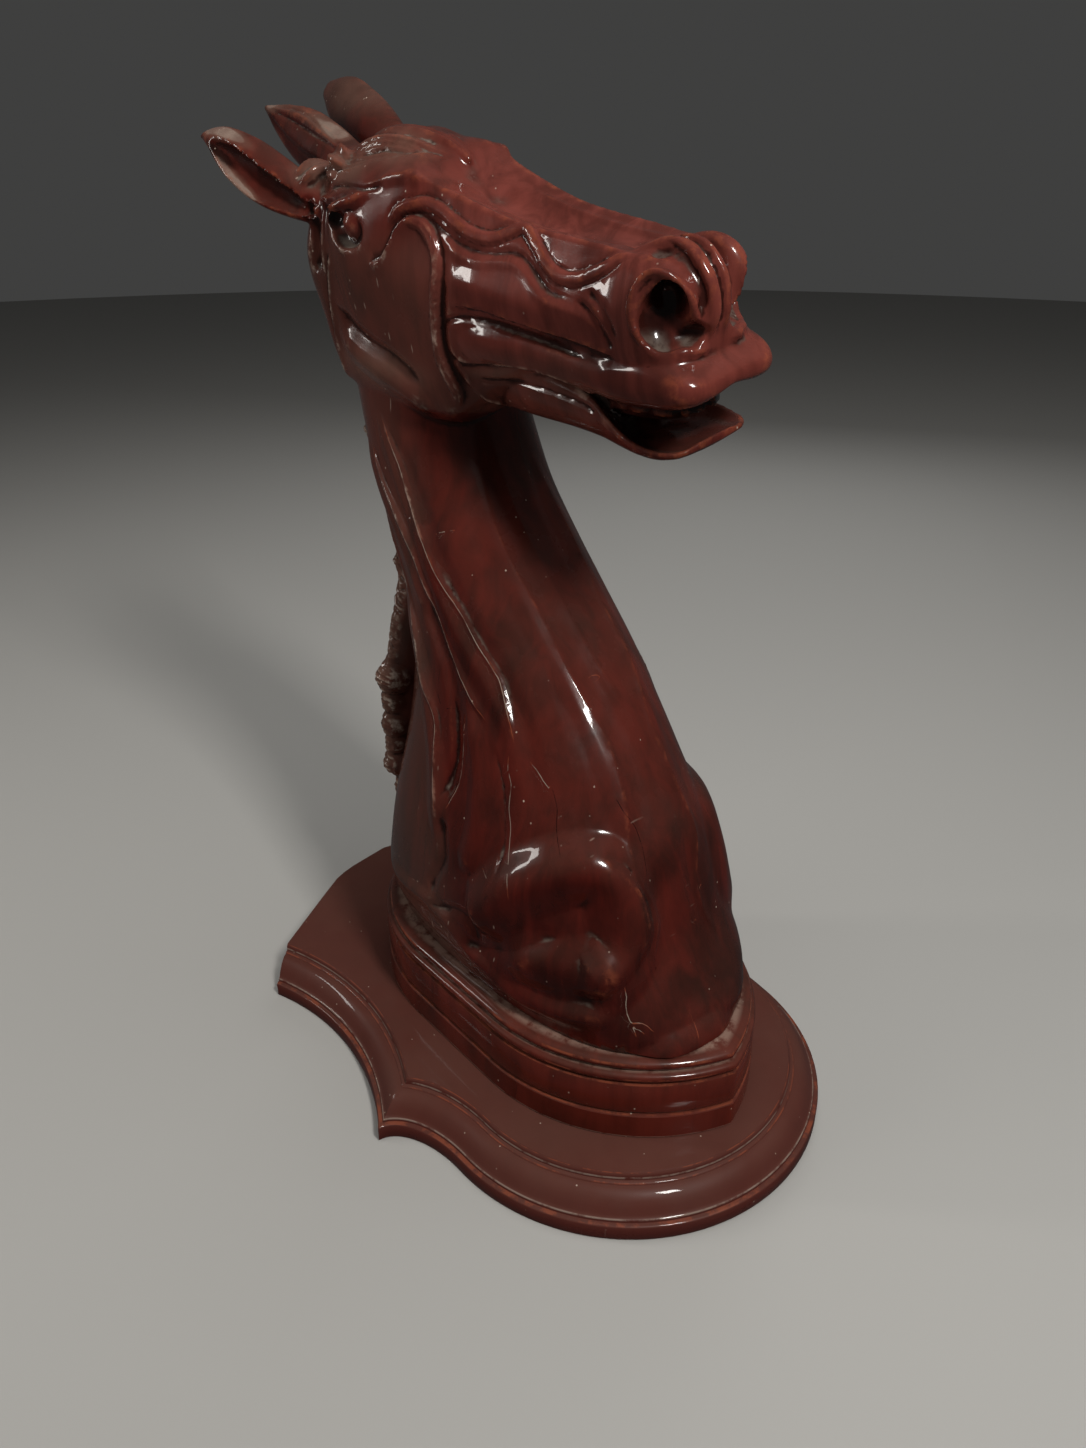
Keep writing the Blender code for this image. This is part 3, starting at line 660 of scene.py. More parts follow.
# The rim's half sizes at some of its points, and how many of its points the far nostril's rim has
NOSTRIL_RIM_SIZES = ((0, 3, 7, 10), (1, 3, 4.2, 2.8))
FAR_RIM_POINTS = 4
# Centre, radii along the opening's axis, across it and up, and the axis's turn from +x
NOSTRIL_PITS = (((0.2165, 0.0625, 0.86), (0.046, 0.0285, 0.0325), 42),
                ((0.198, 0.037, 0.87), (0.02, 0.015, 0.02), 48),
                ((0.214, 0.035, 0.846), (0.022, 0.021, 0.0115), 62))
EYE_BALL = ((-0.176, 0.0720, 0.9245), 0.0155)
EYE_PITS = (
    ((-0.18, 0.089, 0.922), (0.028, 0.015, 0.018), 0), ((-0.205, 0.085, 0.931), (0.011, 0.014, 0.01), 0),
)
UPPER_LID = (
    ((-218, 79, 926), (-207, 84, 936.5), (-190, 84, 942.5), (-170, 78, 946.5), (-150, 69, 950),
     (-130, 63, 953), (-108, 57, 954), (-86, 50, 949)),
    ((2, 2), (4.2, 4), (5, 4.6), (4.8, 4.4), (4.4, 4), (4, 3.6), (3.4, 3), (1.5, 1.5)),
)
BROW_FOLD = (
    ((-240, 70, 941), (-226, 74, 945.5), (-204.5, 74.5, 946.5), (-182, 70, 950), (-160, 64, 954),
     (-140, 59, 957)), ((2, 2), (4.2, 3.8), (4.8, 4), (4.2, 3.6), (3, 3), (1.5, 1.5)),
)
LOWER_LIDS = (
    (((-205, 84, 928), (-196, 86.5, 916.5), (-181, 88, 908), (-165, 86.5, 901)),
     ((1.2, 1.2), (2, 2.6), (2.4, 2.8), (1.2, 1.2))),
    (((-217, 82, 927), (-209, 85.5, 914), (-191, 89, 904), (-171, 88, 897.5)),
     ((1.2, 1.2), (2.2, 2.8), (2.4, 2.8), (1.2, 1.2))),
    (((-213, 86, 904), (-196, 89, 897.5), (-178, 88, 892)), ((1.2, 1.2), (2, 2.6), (1, 1))),
)
TOOTH_ROW = ((0.108, 0.027, 0.788), (0.14, 0.028, 0.787), (0.163, 0.026, 0.787), (0.181, 0.019, 0.787),
             (0.19, 0.009, 0.788), (0.191, 0.0, 0.788))
TEETH_A_SIDE = 4
TOOTH_SIZE = (0.0205, 0.012, 0.027)
FORELOCK = (
    (((-222, -40, 966), (-196, -38, 975), (-166, -32, 980), (-136, -23, 978), (-112, -14, 973),
      (-90, -8, 966)), ((8, 6), (13, 9), (14, 9), (11, 8), (6, 5), (1, 1))),
    (((-225, -6, 976), (-190, -4, 984), (-150, 2, 983), (-112, 6, 976), (-84, 6, 963)),
     ((8, 10), (12, 16), (12, 18), (9, 12), (1.5, 2))),
    (((-225, 34, 968), (-190, 32, 977), (-155, 28, 977), (-120, 22, 972), (-92, 18, 962)),
     ((8, 8), (10, 14), (10, 16), (7, 11), (1.5, 2))),
)
CREST_LOCK = (
    ((-240, 0, 955), (-285, 0, 957), (-325, 0, 970), (-365, 0, 987), (-405, 0, 1003), (-443, 0, 1019)),
    ((18, 24), (24, 26), (29, 22), (28, 16), (18, 10), (2, 3)),
)
# Knobs of hair: centre, radius, the way their axis lies in plan and how it rises
KNOBS = (((-0.262, -0.058, 0.957), 0.0185, 60, 0.55), ((-0.2195, -0.047, 0.9685), 0.0175, -8, -0.27),
         ((-0.19, -0.042, 0.972), 0.0105, 20, -0.5), ((-0.268, 0.05, 0.958), 0.018, -35, 0.35),
         ((-0.236, 0.036, 0.972), 0.014, 20, 0.35))
# Height and size of the mane's curls
MANE_CURLS = (
    (0.428, 0.022), (0.398, 0.017), (0.367, 0.018), (0.34, 0.016), (0.313, 0.02), (0.28, 0.018),
    (0.455, 0.013), (0.49, 0.014), (0.525, 0.012), (0.56, 0.014), (0.6, 0.013), (0.645, 0.015),
    (0.698, 0.018), (0.745, 0.013), (0.79, 0.014),
)
# Height, the mane's middle line at the back and its half width
MANE = ((0.255, -0.196, 0.062), (0.3, -0.211, 0.078), (0.36, -0.211, 0.083), (0.42, -0.21, 0.083),
        (0.48, -0.207, 0.075), (0.54, -0.216, 0.058), (0.6, -0.243, 0.048), (0.66, -0.272, 0.044),
        (0.72, -0.296, 0.043), (0.8, -0.316, 0.042), (0.89, -0.314, 0.038))
# Centres and radii, in millimetres, of painted shade: the mouth, the nostrils, the eyes' back corners
PAINTED_SHADE_PLACES = (
    ((115, 0, 785), (30, 38, 16)), ((150, 0, 782), (40, 40, 18)),
    ((180, 0, 780), (24, 34, 16)), ((190, 32, 873), (18, 16, 19)),
    ((190, -32, 873), (18, 16, 19)), ((-205, 80, 931), (12, 14, 10)),
    ((-205, -80, 931), (12, 14, 10)),
)
# Centres and radii, in millimetres, and thickness of dust and haze
DUSTY_PLACES = (
    ((-150, -35, 985), (60, 30, 22), 0.65),  # forelock
    ((-200, -60, 972), (40, 25, 18), 0.75),  # brow
    ((-255, -60, 968), (30, 22, 20), 0.82),  # knobs
    ((-180, -85, 790), (80, 20, 22), 0.75),  # under the jowl
    ((50, -60, 795), (90, 15, 10), 0.75),  # along the cheek bar
    ((-380, 75, 1010), (80, 30, 30), 0.45),  # far ear
)
# Bands of dust on the near ear's two edges and on the pointed lock, and the painted shade in that ear's
# hollow: their lines and reach, in millimetres, and strength
DUSTY_BANDS = (
    (((-240, -90, 968), (-270, -92, 982), (-300, -92, 997), (-330, -92, 1006),
      (-360, -92, 1010), (-390, -95, 1011)), 9, 1.0),
    (((-236, -106, 942), (-285, -110, 949), (-328, -110, 962), (-350, -110, 978),
      (-365, -110, 994)), 6.5, 0.95),
    (((-430, -2, 1027), (-400, -2, 1029), (-365, -2, 1024), (-330, 0, 1010),
      (-300, 2, 990)), 13, 0.95),
)
PAINTED_SHADE_BANDS = (
    (((-247, -100, 945), (-274, -102, 957), (-310, -103, 971), (-351, -104, 986),
      (-385, -104, 1001)), 5.5, 0.9),
)
# How far handling has rubbed the head redder, and how far it is painted brighter as painted light, growing
# higher up and further forward, at millimetres along it and up it
RUBBED_AND_LIT_ALONG = ((-300, 0.0), (-200, 0.22), (-110, 0.30), (-40, 0.80), (240, 1.0))
RUBBED_AND_LIT_UP = ((720, 0.0), (770, 0.5), (860, 0.7), (910, 1.0))


@dataclass
class Ear:
    """One laid-back ear: a leaf with a deep hollow. Path, half sizes and shift are in millimetres."""

    path: Points
    sizes: Points
    across: Place
    hollow_shift: Place
    hollow_width: float = 0.66
    hollow_depth: float = 0.62
    hollow_root: tuple[float, float] = (0.35, 0.8)
    hollow_tip: float = 0.35

    def body(self, bm: BMesh) -> None:
        """Add the ear's leaf to a mesh."""
        path, sizes = np.array(self.path) / MM_IN_M, np.array(self.sizes) / MM_IN_M
        loft(bm, [from_head(ring) for ring in sweep(path, sizes, self.across, sides=28)])

    def hollow(self, bm: BMesh) -> None:
        """Add the body that hollows the ear to a mesh.

        Args:
            bm: the mesh.
        """
        path = np.array(self.path[:-1]) / MM_IN_M
        sizes = np.array(self.sizes[:-1]) / MM_IN_M
        path[0] = (path[0] + path[1]) / 2
        sizes[0] = (sizes[0] + sizes[1]) / 2
        path += np.array(self.hollow_shift) / MM_IN_M
        sizes *= (self.hollow_width, self.hollow_depth)
        sizes[:2] *= np.array(self.hollow_root)[:, None]
        sizes[-1] *= self.hollow_tip
        loft(bm, [from_head(ring) for ring in sweep(path, sizes, self.across, sides=20)])


NEAR_EAR = Ear(
    path=((-232, -60, 932), (-268, -74, 945), (-304, -85, 963),
          (-340, -91, 983.5), (-373, -94, 1001.5), (-394, -97, 1007.5),
          (-409, -100, 1009)),
    sizes=((17, 14), (22.5, 16), (27.5, 17), (26.5, 15), (18, 10),
           (9, 6), (1.5, 2)),
    across=(0.0, 0.78, 0.62), hollow_shift=(5, -14.5, -2), hollow_width=0.62,
)
FAR_EAR = Ear(
    path=((-245, 45, 950), (-285, 52, 965), (-328, 62, 982), (-370, 72, 998),
          (-408, 79, 1012), (-442, 82, 1022)),
    sizes=((14, 13), (24, 16), (29, 17), (29, 15), (26, 11), (10, 4)),
    across=(0.2, 0.7, 0.7), hollow_shift=(-4, 10, -10),
)
# Combed locks: the roll, the way its grooves are spread, the way they are cut in and their number
COMBS = (
    (FORELOCK[0], (0.0, 0.3, 1.0), (0.2, -0.95, 0.3), 5),
    (FORELOCK[1], (0.0, 1.2, -0.3), (0.0, 0.2, 1.0), 5),
    (CREST_LOCK, (0.0, 0.45, 1.0), (0.14, -0.65, 0.75), 3),
)
# The mane's grooves: lowest, end and spacing of their heights, and one groove's way round the mane, as
# steps ahead of its middle line, shares of its half width and steps up
MANE_GROOVES = (0.262, 0.830, 0.0085)
MANE_GROOVE = (
    (0.05, -1.15, -0.006), (0.02, -1.22, -0.002), (-0.004, -1.05, 0.002), (-0.02, -0.6, 0.005),
    (-0.024, 0.0, 0.004), (-0.02, 0.6, 0.001), (-0.004, 1.05, -0.003), (0.02, 1.22, -0.006),
    (0.05, 1.15, -0.01),
)


# Strokes by the way they are laid and cut; each takes its width, depth and points
free_line = functools.partial(Stroke, View.FREE, Cut.SHARP)
free_roll = functools.partial(Stroke, View.FREE, Cut.ROUND)
flank_line = functools.partial(Stroke, View.FLANK, Cut.SHARP)
flank_roll = functools.partial(Stroke, View.FLANK, Cut.ROUND)
flank_step = functools.partial(Stroke, View.FLANK, Cut.STEP)
flank_cord = functools.partial(Stroke, View.FLANK, Cut.CORD)
neck_line = functools.partial(Stroke, View.NECK, Cut.SHARP)
neck_roll = functools.partial(Stroke, View.NECK, Cut.ROUND)

STROKES_FORM = (
    # the flat between the two edges of the face, and the hollow of the temple
    free_roll(26, -3, ((-60, 0, 950), (0, 0, 920), (80, 0, 905)), (1,)),
    # cheek: one long swell between the veins and the bar
    flank_roll(30, 3, ((-50, 880), (0, 875), (60, 862), (120, 850)), fade=0.3),
    # chest muscles: a roll that curls round a hollow into a tongue, its creases and the groove round it
    *(neck_roll(width, depth, turned(points, turn), (side,), fade)
      for side, turn, share in ((-1, 0, 1.0), (1, 16, 0.6))
      for width, depth, fade, points in (
          (42, 19 * share, 0.1, (
              (81, 238), (74, 262), (69, 280), (62, 306), (52, 328), (43, 340), (34, 341), (28, 327),
              (25, 300), (25, 271), (30, 246), (38, 229), (47, 218))),
          (36, 9 * share, 0.25, ((72, 216), (62, 232), (51, 241), (42, 244), (34, 252), (28, 262))),
          (20, 3 * share, 0.3, (
              (78, 182), (69, 184), (63, 181), (55, 185), (46, 192), (37, 200), (29, 211))))),
    # long folds of the throat
    neck_roll(24, 3, ((25, 690), (27, 610), (23, 530), (17, 460), (16, 410), (20, 350))),
    neck_roll(18, -2.5, (
        (16, 720), (19, 630), (18, 542), (13, 470), (9, 420), (12, 357), (10, 300), (8, 255))),
    # folds that fan down the flank
    neck_roll(18, 3, (
        (96, 745), (88, 695), (80, 655), (78, 600), (77, 551), (70, 515), (62, 485), (57, 450), (60, 390),
        (63, 330))),
    neck_roll(18, -2.5, (
        (84, 735), (78, 680), (72, 620), (68, 560), (60, 520), (53, 470), (51, 420), (54, 375))),
    neck_roll(17, -4, ((106, 640), (97, 580), (90, 520), (86, 482), (86, 430), (90, 380), (95, 345))),
    neck_roll(18, 4, ((122, 700), (114, 650), (101, 606), (97, 565), (93, 530))),
    neck_roll(22, 6, ((130, 560), (118, 500), (108, 450), (102, 400), (99, 350), (97, 300))),
    neck_roll(20, 4, ((78, 470), (76, 420), (77, 370), (80, 320), (84, 290))),
    # foot swelling out towards the collar's tip
    neck_roll(26, 11, ((38, 150), (26, 151), (14, 152), (4, 152), (-8, 151), (-22, 150)), (-1,), 0.3),
    # fold above the foot, from the back to under the chest roll
    neck_roll(16, 4, ((135, 205), (115, 215), (99, 222), (86, 204), (74, 186), (60, 172))),
)

STROKES_LINE = (
    # crest of the brow and edge of the face, with the fine groove inside it
    free_line(11, 4, (
        (-170, 66, 955), (-140, 60, 957), (-122, 57, 960), (-94, 53, 962), (-70, 48, 957), (-40, 43, 945),
        (0, 39, 932), (45, 36, 921), (95, 34, 912), (140, 33, 908), (168, 33, 905))),
    free_line(6, -3, (
        (-60, 38, 952), (-30, 35, 944), (-6, 33, 937), (18, 31, 930), (50, 29, 923), (65, 28, 917),
        (109, 26, 912)), (-1,)),
    free_line(6, 2, (
        (-30, 26, 940), (10, 24, 930), (50, 22, 921), (90, 20, 913), (130, 18, 907), (160, 18, 903))),
    # winding vein and the shoulder below it
    flank_cord(8.5, 2.6, (
        (-122, 921), (-114, 931), (-104, 938), (-90, 941), (-76, 941), (-60, 936), (-44, 928), (-27, 920),
        (-10, 915), (6, 914), (20, 917), (33, 919), (46, 915), (60, 905), (72, 895), (86, 888), (102, 886),
        (118, 889), (134, 895), (148, 902), (166, 905)), (-1,), 0.08),
    flank_line(3.5, -0.9, (
        (-112, 930), (-90, 940), (-76, 940), (-60, 935), (-44, 927), (-27, 919), (-10, 914), (6, 913),
        (20, 916), (33, 918), (46, 914), (60, 904), (72, 894), (86, 887), (102, 885)), (-1,)),
    flank_cord(8.5, 3, (
        (-122, 915), (-104, 930), (-76, 932), (-44, 918), (-10, 906), (20, 908), (46, 905), (72, 886),
        (102, 878), (134, 884), (160, 890)), (1,), 0.1),
    flank_line(7, -2.2, (
        (-84, 932), (-68, 928), (-50, 918), (-30, 909), (-8, 904), (14, 903), (31, 903), (46, 898),
        (60, 888), (76, 877), (92, 873), (108, 871))),
    flank_line(9, 2, (
        (-62, 920), (-46, 908), (-28, 900), (-8, 896), (14, 896), (31, 895), (46, 889), (60, 879),
        (76, 869), (94, 865), (112, 860), (128, 850))),
    # jowl: a raised plate with a ribbon along its front edge
    flank_step(20, 8, (
        (-150, 893), (-140, 895), (-131, 899), (-122, 908), (-112, 921), (-102, 930), (-90, 932),
        (-76, 928), (-64, 918), (-57, 904), (-55, 890), (-59, 872), (-65, 852), (-69, 832), (-70, 812),
        (-65, 792), (-62, 774), (-70, 756)), fade=0.06),
    flank_cord(5.5, 1.3, (
        (-104, 925), (-90, 927), (-78, 922), (-69, 913), (-63, 902), (-61, 889), (-65, 872), (-71, 852),
        (-75, 832), (-76, 812), (-72, 792), (-68, 774), (-76, 756)), fade=0.1),
    flank_line(8, -3, (
        (-51, 890), (-52, 876), (-58, 856), (-64, 836), (-65, 814), (-59, 792), (-49, 772),
        (-41, 752)), fade=0.2),
    flank_step(14, 6, ((-262, 757), (-254, 800), (-246, 840), (-232, 872), (-218, 902)), fade=0.1),
    flank_line(14, -5, (
        (-234, 852), (-216, 836), (-196, 824), (-172, 815), (-147, 806), (-123, 792), (-104, 778))),
    flank_roll(20, 5, ((-240, 826), (-216, 806), (-184, 792), (-152, 780), (-122, 764), (-98, 750))),
    # bar of the cheek, outlined by grooves, with a chamfer over it and two flats under it
    flank_step(13, 6, ((150, 829), (122, 834), (71, 843), (18, 853), (-10, 858), (-50, 858)), fade=0.08),
    flank_line(6, -4, (
        (-50, 804), (-62, 810), (-68, 822), (-66, 835), (-57, 844), (-38, 848), (-4, 847), (45, 839),
        (85, 831), (118, 823)), fade=0.1),
    flank_step(13, 7, (
        (126, 776), (112, 788), (92, 800), (54, 808), (0, 808), (-40, 805), (-58, 808)), fade=0.08),
    flank_line(6, -3, ((-46, 792), (-20, 787), (20, 787), (60, 783), (92, 778), (118, 770))),
    flank_line(7, 2.5, ((-48, 797), (-52, 780), (-42, 762), (-34, 748))),
    # grooves between the folds of the nose
    free_line(6, -4.5, (
        (165, 0, 910), (190, 0, 908), (208, 0, 896), (218, 0, 878), (219, 0, 862),
        (216, -2, 844)), (1,), 0.1),
    free_line(7, -5, (
        (165, 16, 908), (188, 17, 906), (204, 18, 892), (213, 19, 876), (215, 19, 860),
        (211, 17, 845)), (1,), 0.1),
    free_line(7, -3.5, (
        (170, -26, 910), (190, -22, 908), (206, -20, 896), (216, -19, 880), (218, -20, 864),
        (213, -22, 848)), (1,), 0.1),
    # crisp lower edge of the nostril
    free_line(5, 2.5, (
        (213, 8, 833), (208, 28, 832), (198, 46, 837), (184, 56, 848), (177, 58, 862)), fade=0.12),
    # creases behind the nostril
    flank_line(6, -2.5, ((106, 872), (120, 866), (132, 856), (142, 842), (147, 834))),
    flank_line(6, -2, ((118, 880), (132, 872), (146, 858), (154, 842))),
    # hollow leaf behind the eye, with its ridge
    flank_roll(13, -8, ((-246, 952), (-248, 930), (-250, 900), (-252, 876))),
    flank_line(6, 3, ((-226, 952), (-228, 925), (-231, 895), (-236, 872))),
    # fine folds round the eye
    flank_line(5, -2.5, ((-224, 953), (-200, 957), (-172, 956), (-148, 955), (-120, 960))),
    # crests and creases of the neck
    neck_line(6, 1.3, (
        (25, 690), (27, 630), (26, 590), (23, 550), (21, 500), (16, 460), (15, 430), (17, 390), (20, 351),
        (17, 325), (13, 299), (14, 267), (19, 240), (31, 214))),
    neck_line(6, 2.4, (
        (92, 733), (82, 691), (78, 655), (78, 624), (76, 587), (73, 569), (68, 549), (64, 527), (58, 500),
        (57, 470), (57, 440)), fade=0.12),
    neck_line(6, 2.4, (
        (112, 700), (106, 660), (98, 626), (93, 593), (92, 566), (86, 534), (83, 505), (75, 474),
        (68, 455)), fade=0.12),
    neck_line(6, 2.4, (
        (126, 640), (120, 590), (117, 550), (114, 510), (109, 471), (100, 437), (99, 400), (98, 365),
        (96, 320)), fade=0.12),
    neck_line(6, 2, ((81, 458), (84, 416), (87, 381), (94, 345)), (-1,)),
    neck_line(7, -3.5, ((88, 470), (88, 445), (89, 411), (93, 377), (97, 350)), fade=0.25),
    neck_line(5, -1.5, ((67, 440), (65, 400), (66, 350), (68, 310))),
    neck_line(6, 1.2, ((8, 680), (9, 640), (8, 600), (6, 560), (4, 520), (0, 490), (-3, 466)), (-1,)),
    # rim, crease and tongue of the chest roll
    neck_line(18, -4, ((34, 366), (27, 358), (20, 339), (16, 311), (15, 287), (18, 262)), (-1,), 0.3),
    neck_line(5, 1.6, ((24, 336), (19, 318), (18, 296), (19, 272)), (-1,)),
    neck_line(20, -4.5, ((86, 204), (81, 211), (70, 226), (59, 251), (52, 265), (45, 272)), (-1,), 0.25),
    neck_line(20, -3.5, (
        (70, 196), (63, 200), (58, 200), (53, 201), (45, 208), (36, 222), (28, 238), (20, 255), (15, 272),
        (14, 292)), (-1,), 0.2),
    neck_line(13, -4, ((96, 345), (94, 315), (93, 288), (98, 255), (100, 232)), (-1,)),
    neck_line(13, -4, ((102, 222), (96, 226), (88, 238), (82, 240), (79, 230), (78, 212)), (-1,)),
)


@dataclass(frozen=True)
class Crack:
    """A hair-fine split or scratch on the neck, or a pale painted highlight along one of its crests.

    The tone is 1 where pale dust fills it and on a painted highlight, about 0.5 for a scratch down to bare
    wood and -1 for an open dark split.
    """

    tone: float
    points: Points


CRACKS = (
    Crack(1.0, ((60, 436), (61.5, 420), (61, 407), (63, 386), (63, 365), (64, 345), (63, 327), (62, 302))),
    Crack(-1.0, ((45, 412), (44, 399), (45, 386), (46, 372), (46, 358))),
    Crack(1.0, ((52, 431), (49, 422), (48, 417), (44, 404))),
    Crack(1.0, ((31, 233), (31, 220), (32, 208), (32, 191), (32, 175))),
    Crack(0.7, ((32, 190), (29, 191), (27, 187), (26, 181))),
    Crack(0.55, ((4, 203), (7, 187), (10, 158))),
    Crack(0.55, ((13, 500), (9, 502), (5, 500), (10, 496))),
    Crack(-1.0, ((100, 471), (97, 452), (90, 453), (81, 458), (80, 448), (81, 438))),
    Crack(-1.0, ((20, 405), (18, 390), (14, 374), (13, 350), (14, 326))),
    Crack(1.0, ((66, 618), (60, 621), (52, 624))),
    Crack(0.8, ((70, 311), (72, 310), (74, 312))),
    Crack(0.8, ((-9, 262), (-8, 259), (-9, 256))),
    Crack(0.8, ((-15, 292), (-14, 290), (-14, 287))),
)


@dataclass
class Carving:
    """The horse's head, ears, mane and neck, carved from one block."""

    foot: float
    voxel: float = 0.0022
    triangles: int = 190_000
    neck: np.ndarray = field(default_factory=lambda: np.array(NECK))
    steps: int = 8  # rings for each span between two stations
    knob_profile: Points = ((0.25, 0.25), (0.85, 0.8), (1.0, 1.0), (0.85, 0.8), (0.25, 0.25))
    knob_length: float = 1.15
    mane_depth: float = 0.030
    mane_ahead: float = 0.018
    curl_shape: Place = (1.0, 1.25, 1.0)
    curl_row: tuple[float, ...] = (-0.86, -0.3, 0.3, 0.86)
    curl_steps: Place = (0.012, 0.010, 0.009)  # ahead, further ahead at the sides, up along the row
    comb_spread: float = 0.85  # how much of a lock's width its grooves take up
    comb_lift: float = 1.6
    comb_cut: tuple[float, float] = (3.6, -2.0)  # width and depth of a lock's groove, in millimetres
    groove_cut: tuple[float, float] = (4.6, -3.6)  # and of the mane's
    groove_fade: float = 0.08

    def neck_rings(self, sides: int = 64) -> list[np.ndarray]:
        """Level rings of the neck, from its foot up into the head.

        Args:
            sides: points in a ring.

        Returns:
            The rings, lowest first.
        """
        turn = np.linspace(0.0, math.tau, sides, endpoint=False)
        rings = []
        for height, back, front, half_width, square, shift in smooth_points(self.neck, self.steps):
            cosine = np.sign(np.cos(turn)) * np.abs(np.cos(turn)) ** (2 / square)
            sine = np.sign(np.sin(turn)) * np.abs(np.sin(turn)) ** (2 / square)
            x = (back + front) / 2 + (front - back) / 2 * cosine
            rings.append(np.column_stack([x, shift + half_width * sine, np.full(sides, height)]))
        return rings

    def section_rings(self, stations: Points) -> list[np.ndarray]:
        """Rings of a body given by its half sections at stations along x.

        Args:
            stations: for each station its x and its half section's points in millimetres, top first.

        Returns:
            The rings, in the model's frame.
        """
        rows = [[x, *(value for point in half for value in point)] for x, *half in stations]
        rings = []
        for row in smooth_points(np.array(rows) / MM_IN_M, self.steps):
            half = row[1:].reshape(-1, 2)
            outline = np.vstack([half, half[-2:0:-1] * (-1, 1)])
            outline = smooth_points(outline, self.steps, closed=True)
            rings.append(from_head(np.column_stack([np.full(len(outline), row[0]), outline])))
        return rings

    def add_roll(self, bm: BMesh, roll: tuple[Points, Points], side: int,
                 across: tuple[float, ...] = (0, 0, 1), flute: tuple[int, float] = (0, 0.0)) -> None:
        """Add one roll of the head to the form.

        Args:
            bm: the form's mesh.
            roll: its path and its half sizes, in millimetres.
            side: 1 or -1.
            across: the direction its width lies along.
            flute: number and depth of its flutes.
        """
        path, sizes = (np.array(part) / MM_IN_M for part in roll)
        sides = max(16, 6 * flute[0])
        rings = sweep(on_side(path, side), sizes, across, sides, flute=flute)
        loft(bm, [from_head(ring) for ring in rings])

    def add_mouth(self, bm: BMesh) -> None:
        """The fleshy upper lip, the bars of the cheeks that run into it, the scooped jaw and the teeth.

        Args:
            bm: the form's mesh.
        """
        for stations in (LIP, JAW, PALATE):
            loft(bm, self.section_rings(stations))
        for side in (1, -1):
            self.add_roll(bm, CHEEK_BAR, side)
        row = smooth_points(TOOTH_ROW, 12)
        reach = np.concatenate([[0.0], np.cumsum(np.linalg.norm(np.diff(row, axis=0), axis=1))])
        for side in (1, -1):
            for index in range(TEETH_A_SIDE):
                place = reach[-1] * (index + 0.5) / TEETH_A_SIDE
                centre = np.array([np.interp(place, reach, row[:, axis]) for axis in range(3)])
                ahead = np.array([np.interp(min(place + 4 * MM, reach[-1]), reach, row[:, axis])
                                  for axis in range(3)]) - centre
                tooth = bmesh.ops.create_cube(bm, size=1.0)["verts"]
                bmesh.ops.scale(bm, verts=tooth, vec=TOOTH_SIZE)
                turn = Matrix.Rotation(math.atan2(side * ahead[1], ahead[0]), 3, "Z")
                bmesh.ops.rotate(bm, verts=tooth, matrix=Matrix.Rotation(HEAD_TILT, 3, "X") @ turn)
                bmesh.ops.translate(bm, verts=tooth, vec=from_head(centre * (1, side, 1))[0])

    def add_blob(self, bm: BMesh, centre: Place, radii: Place, yaw: float = 0.0) -> None:
        """Add an ellipsoid to a mesh.

        Args:
            bm: the mesh.
            centre: its centre in the head's frame.
            radii: its radii along its own axis, across it and up.
            yaw: how far its axis is turned from +x, in degrees.
        """
        ball = bmesh.ops.create_icosphere(bm, subdivisions=4, radius=1.0)["verts"]
        bmesh.ops.scale(bm, verts=ball, vec=radii)
        turn = Matrix.Rotation(HEAD_TILT, 3, "X") @ Matrix.Rotation(math.radians(yaw), 3, "Z")
        bmesh.ops.rotate(bm, verts=ball, matrix=turn)
        bmesh.ops.translate(bm, verts=ball, vec=from_head(centre)[0])

    def add_lids(self, bm: BMesh) -> None:
        """The rolls over and under the eyes.

        Args:
            bm: the form's mesh.
        """
        for side in (1, -1):
            for roll in (UPPER_LID, BROW_FOLD, *LOWER_LIDS):
                self.add_roll(bm, roll, side)

    def add_nose(self, bm: BMesh) -> None:
        """Folds down the front of the nose and the rolled rims of the nostrils.

        Args:
            bm: the form's mesh.
        """
        for roll in NOSE_FOLDS:
            self.add_roll(bm, roll, 1, (0.5, 1, 0))
        sizes = np.interp(np.arange(len(NOSTRIL_RIM)), *NOSTRIL_RIM_SIZES)
        for side, count in ((-1, len(NOSTRIL_RIM)), (1, FAR_RIM_POINTS)):
            self.add_roll(bm, (NOSTRIL_RIM[:count], np.column_stack([sizes, sizes])[:count]), side)

    def add_knob(self, bm: BMesh, centre: Place, radius: float, turn: float, rise: float) -> None:
        """Add a rolled knob of hair, a fluted ball, to the form.

        Args:
            bm: the form's mesh.
            centre: its centre in the head's frame.
            radius: its radius.
            turn: its axis's turn from +x, in degrees.
            rise: how far its axis rises along its length.
        """
        reach = radius * np.array([math.cos(math.radians(turn)), math.sin(math.radians(turn)), rise])
        sizes = radius * np.array(self.knob_profile)
        shares = np.linspace(-self.knob_length, self.knob_length, len(sizes))[:, None]
        path = np.array(centre) + shares * reach
        loft(bm, [from_head(ring) for ring in sweep(path, sizes, (0, 0, 1), 48, flute=(7, 0.24))])

    def add_hair(self, bm: BMesh) -> None:
        """Forelock, knobs at the poll and the pointed lock between the ears.

        Args:
            bm: the form's mesh.
        """
        for roll in FORELOCK:
            self.add_roll(bm, roll, 1, (0, 0.3, 1), (9, 0.07))
        path, sizes = (np.array(part) / MM_IN_M for part in CREST_LOCK)
        loft(bm, [from_head(ring) for ring in sweep(path, sizes, (0, 0.45, 1), 60, flute=(7, 0.04))])
        for knob in KNOBS:
            self.add_knob(bm, *knob)

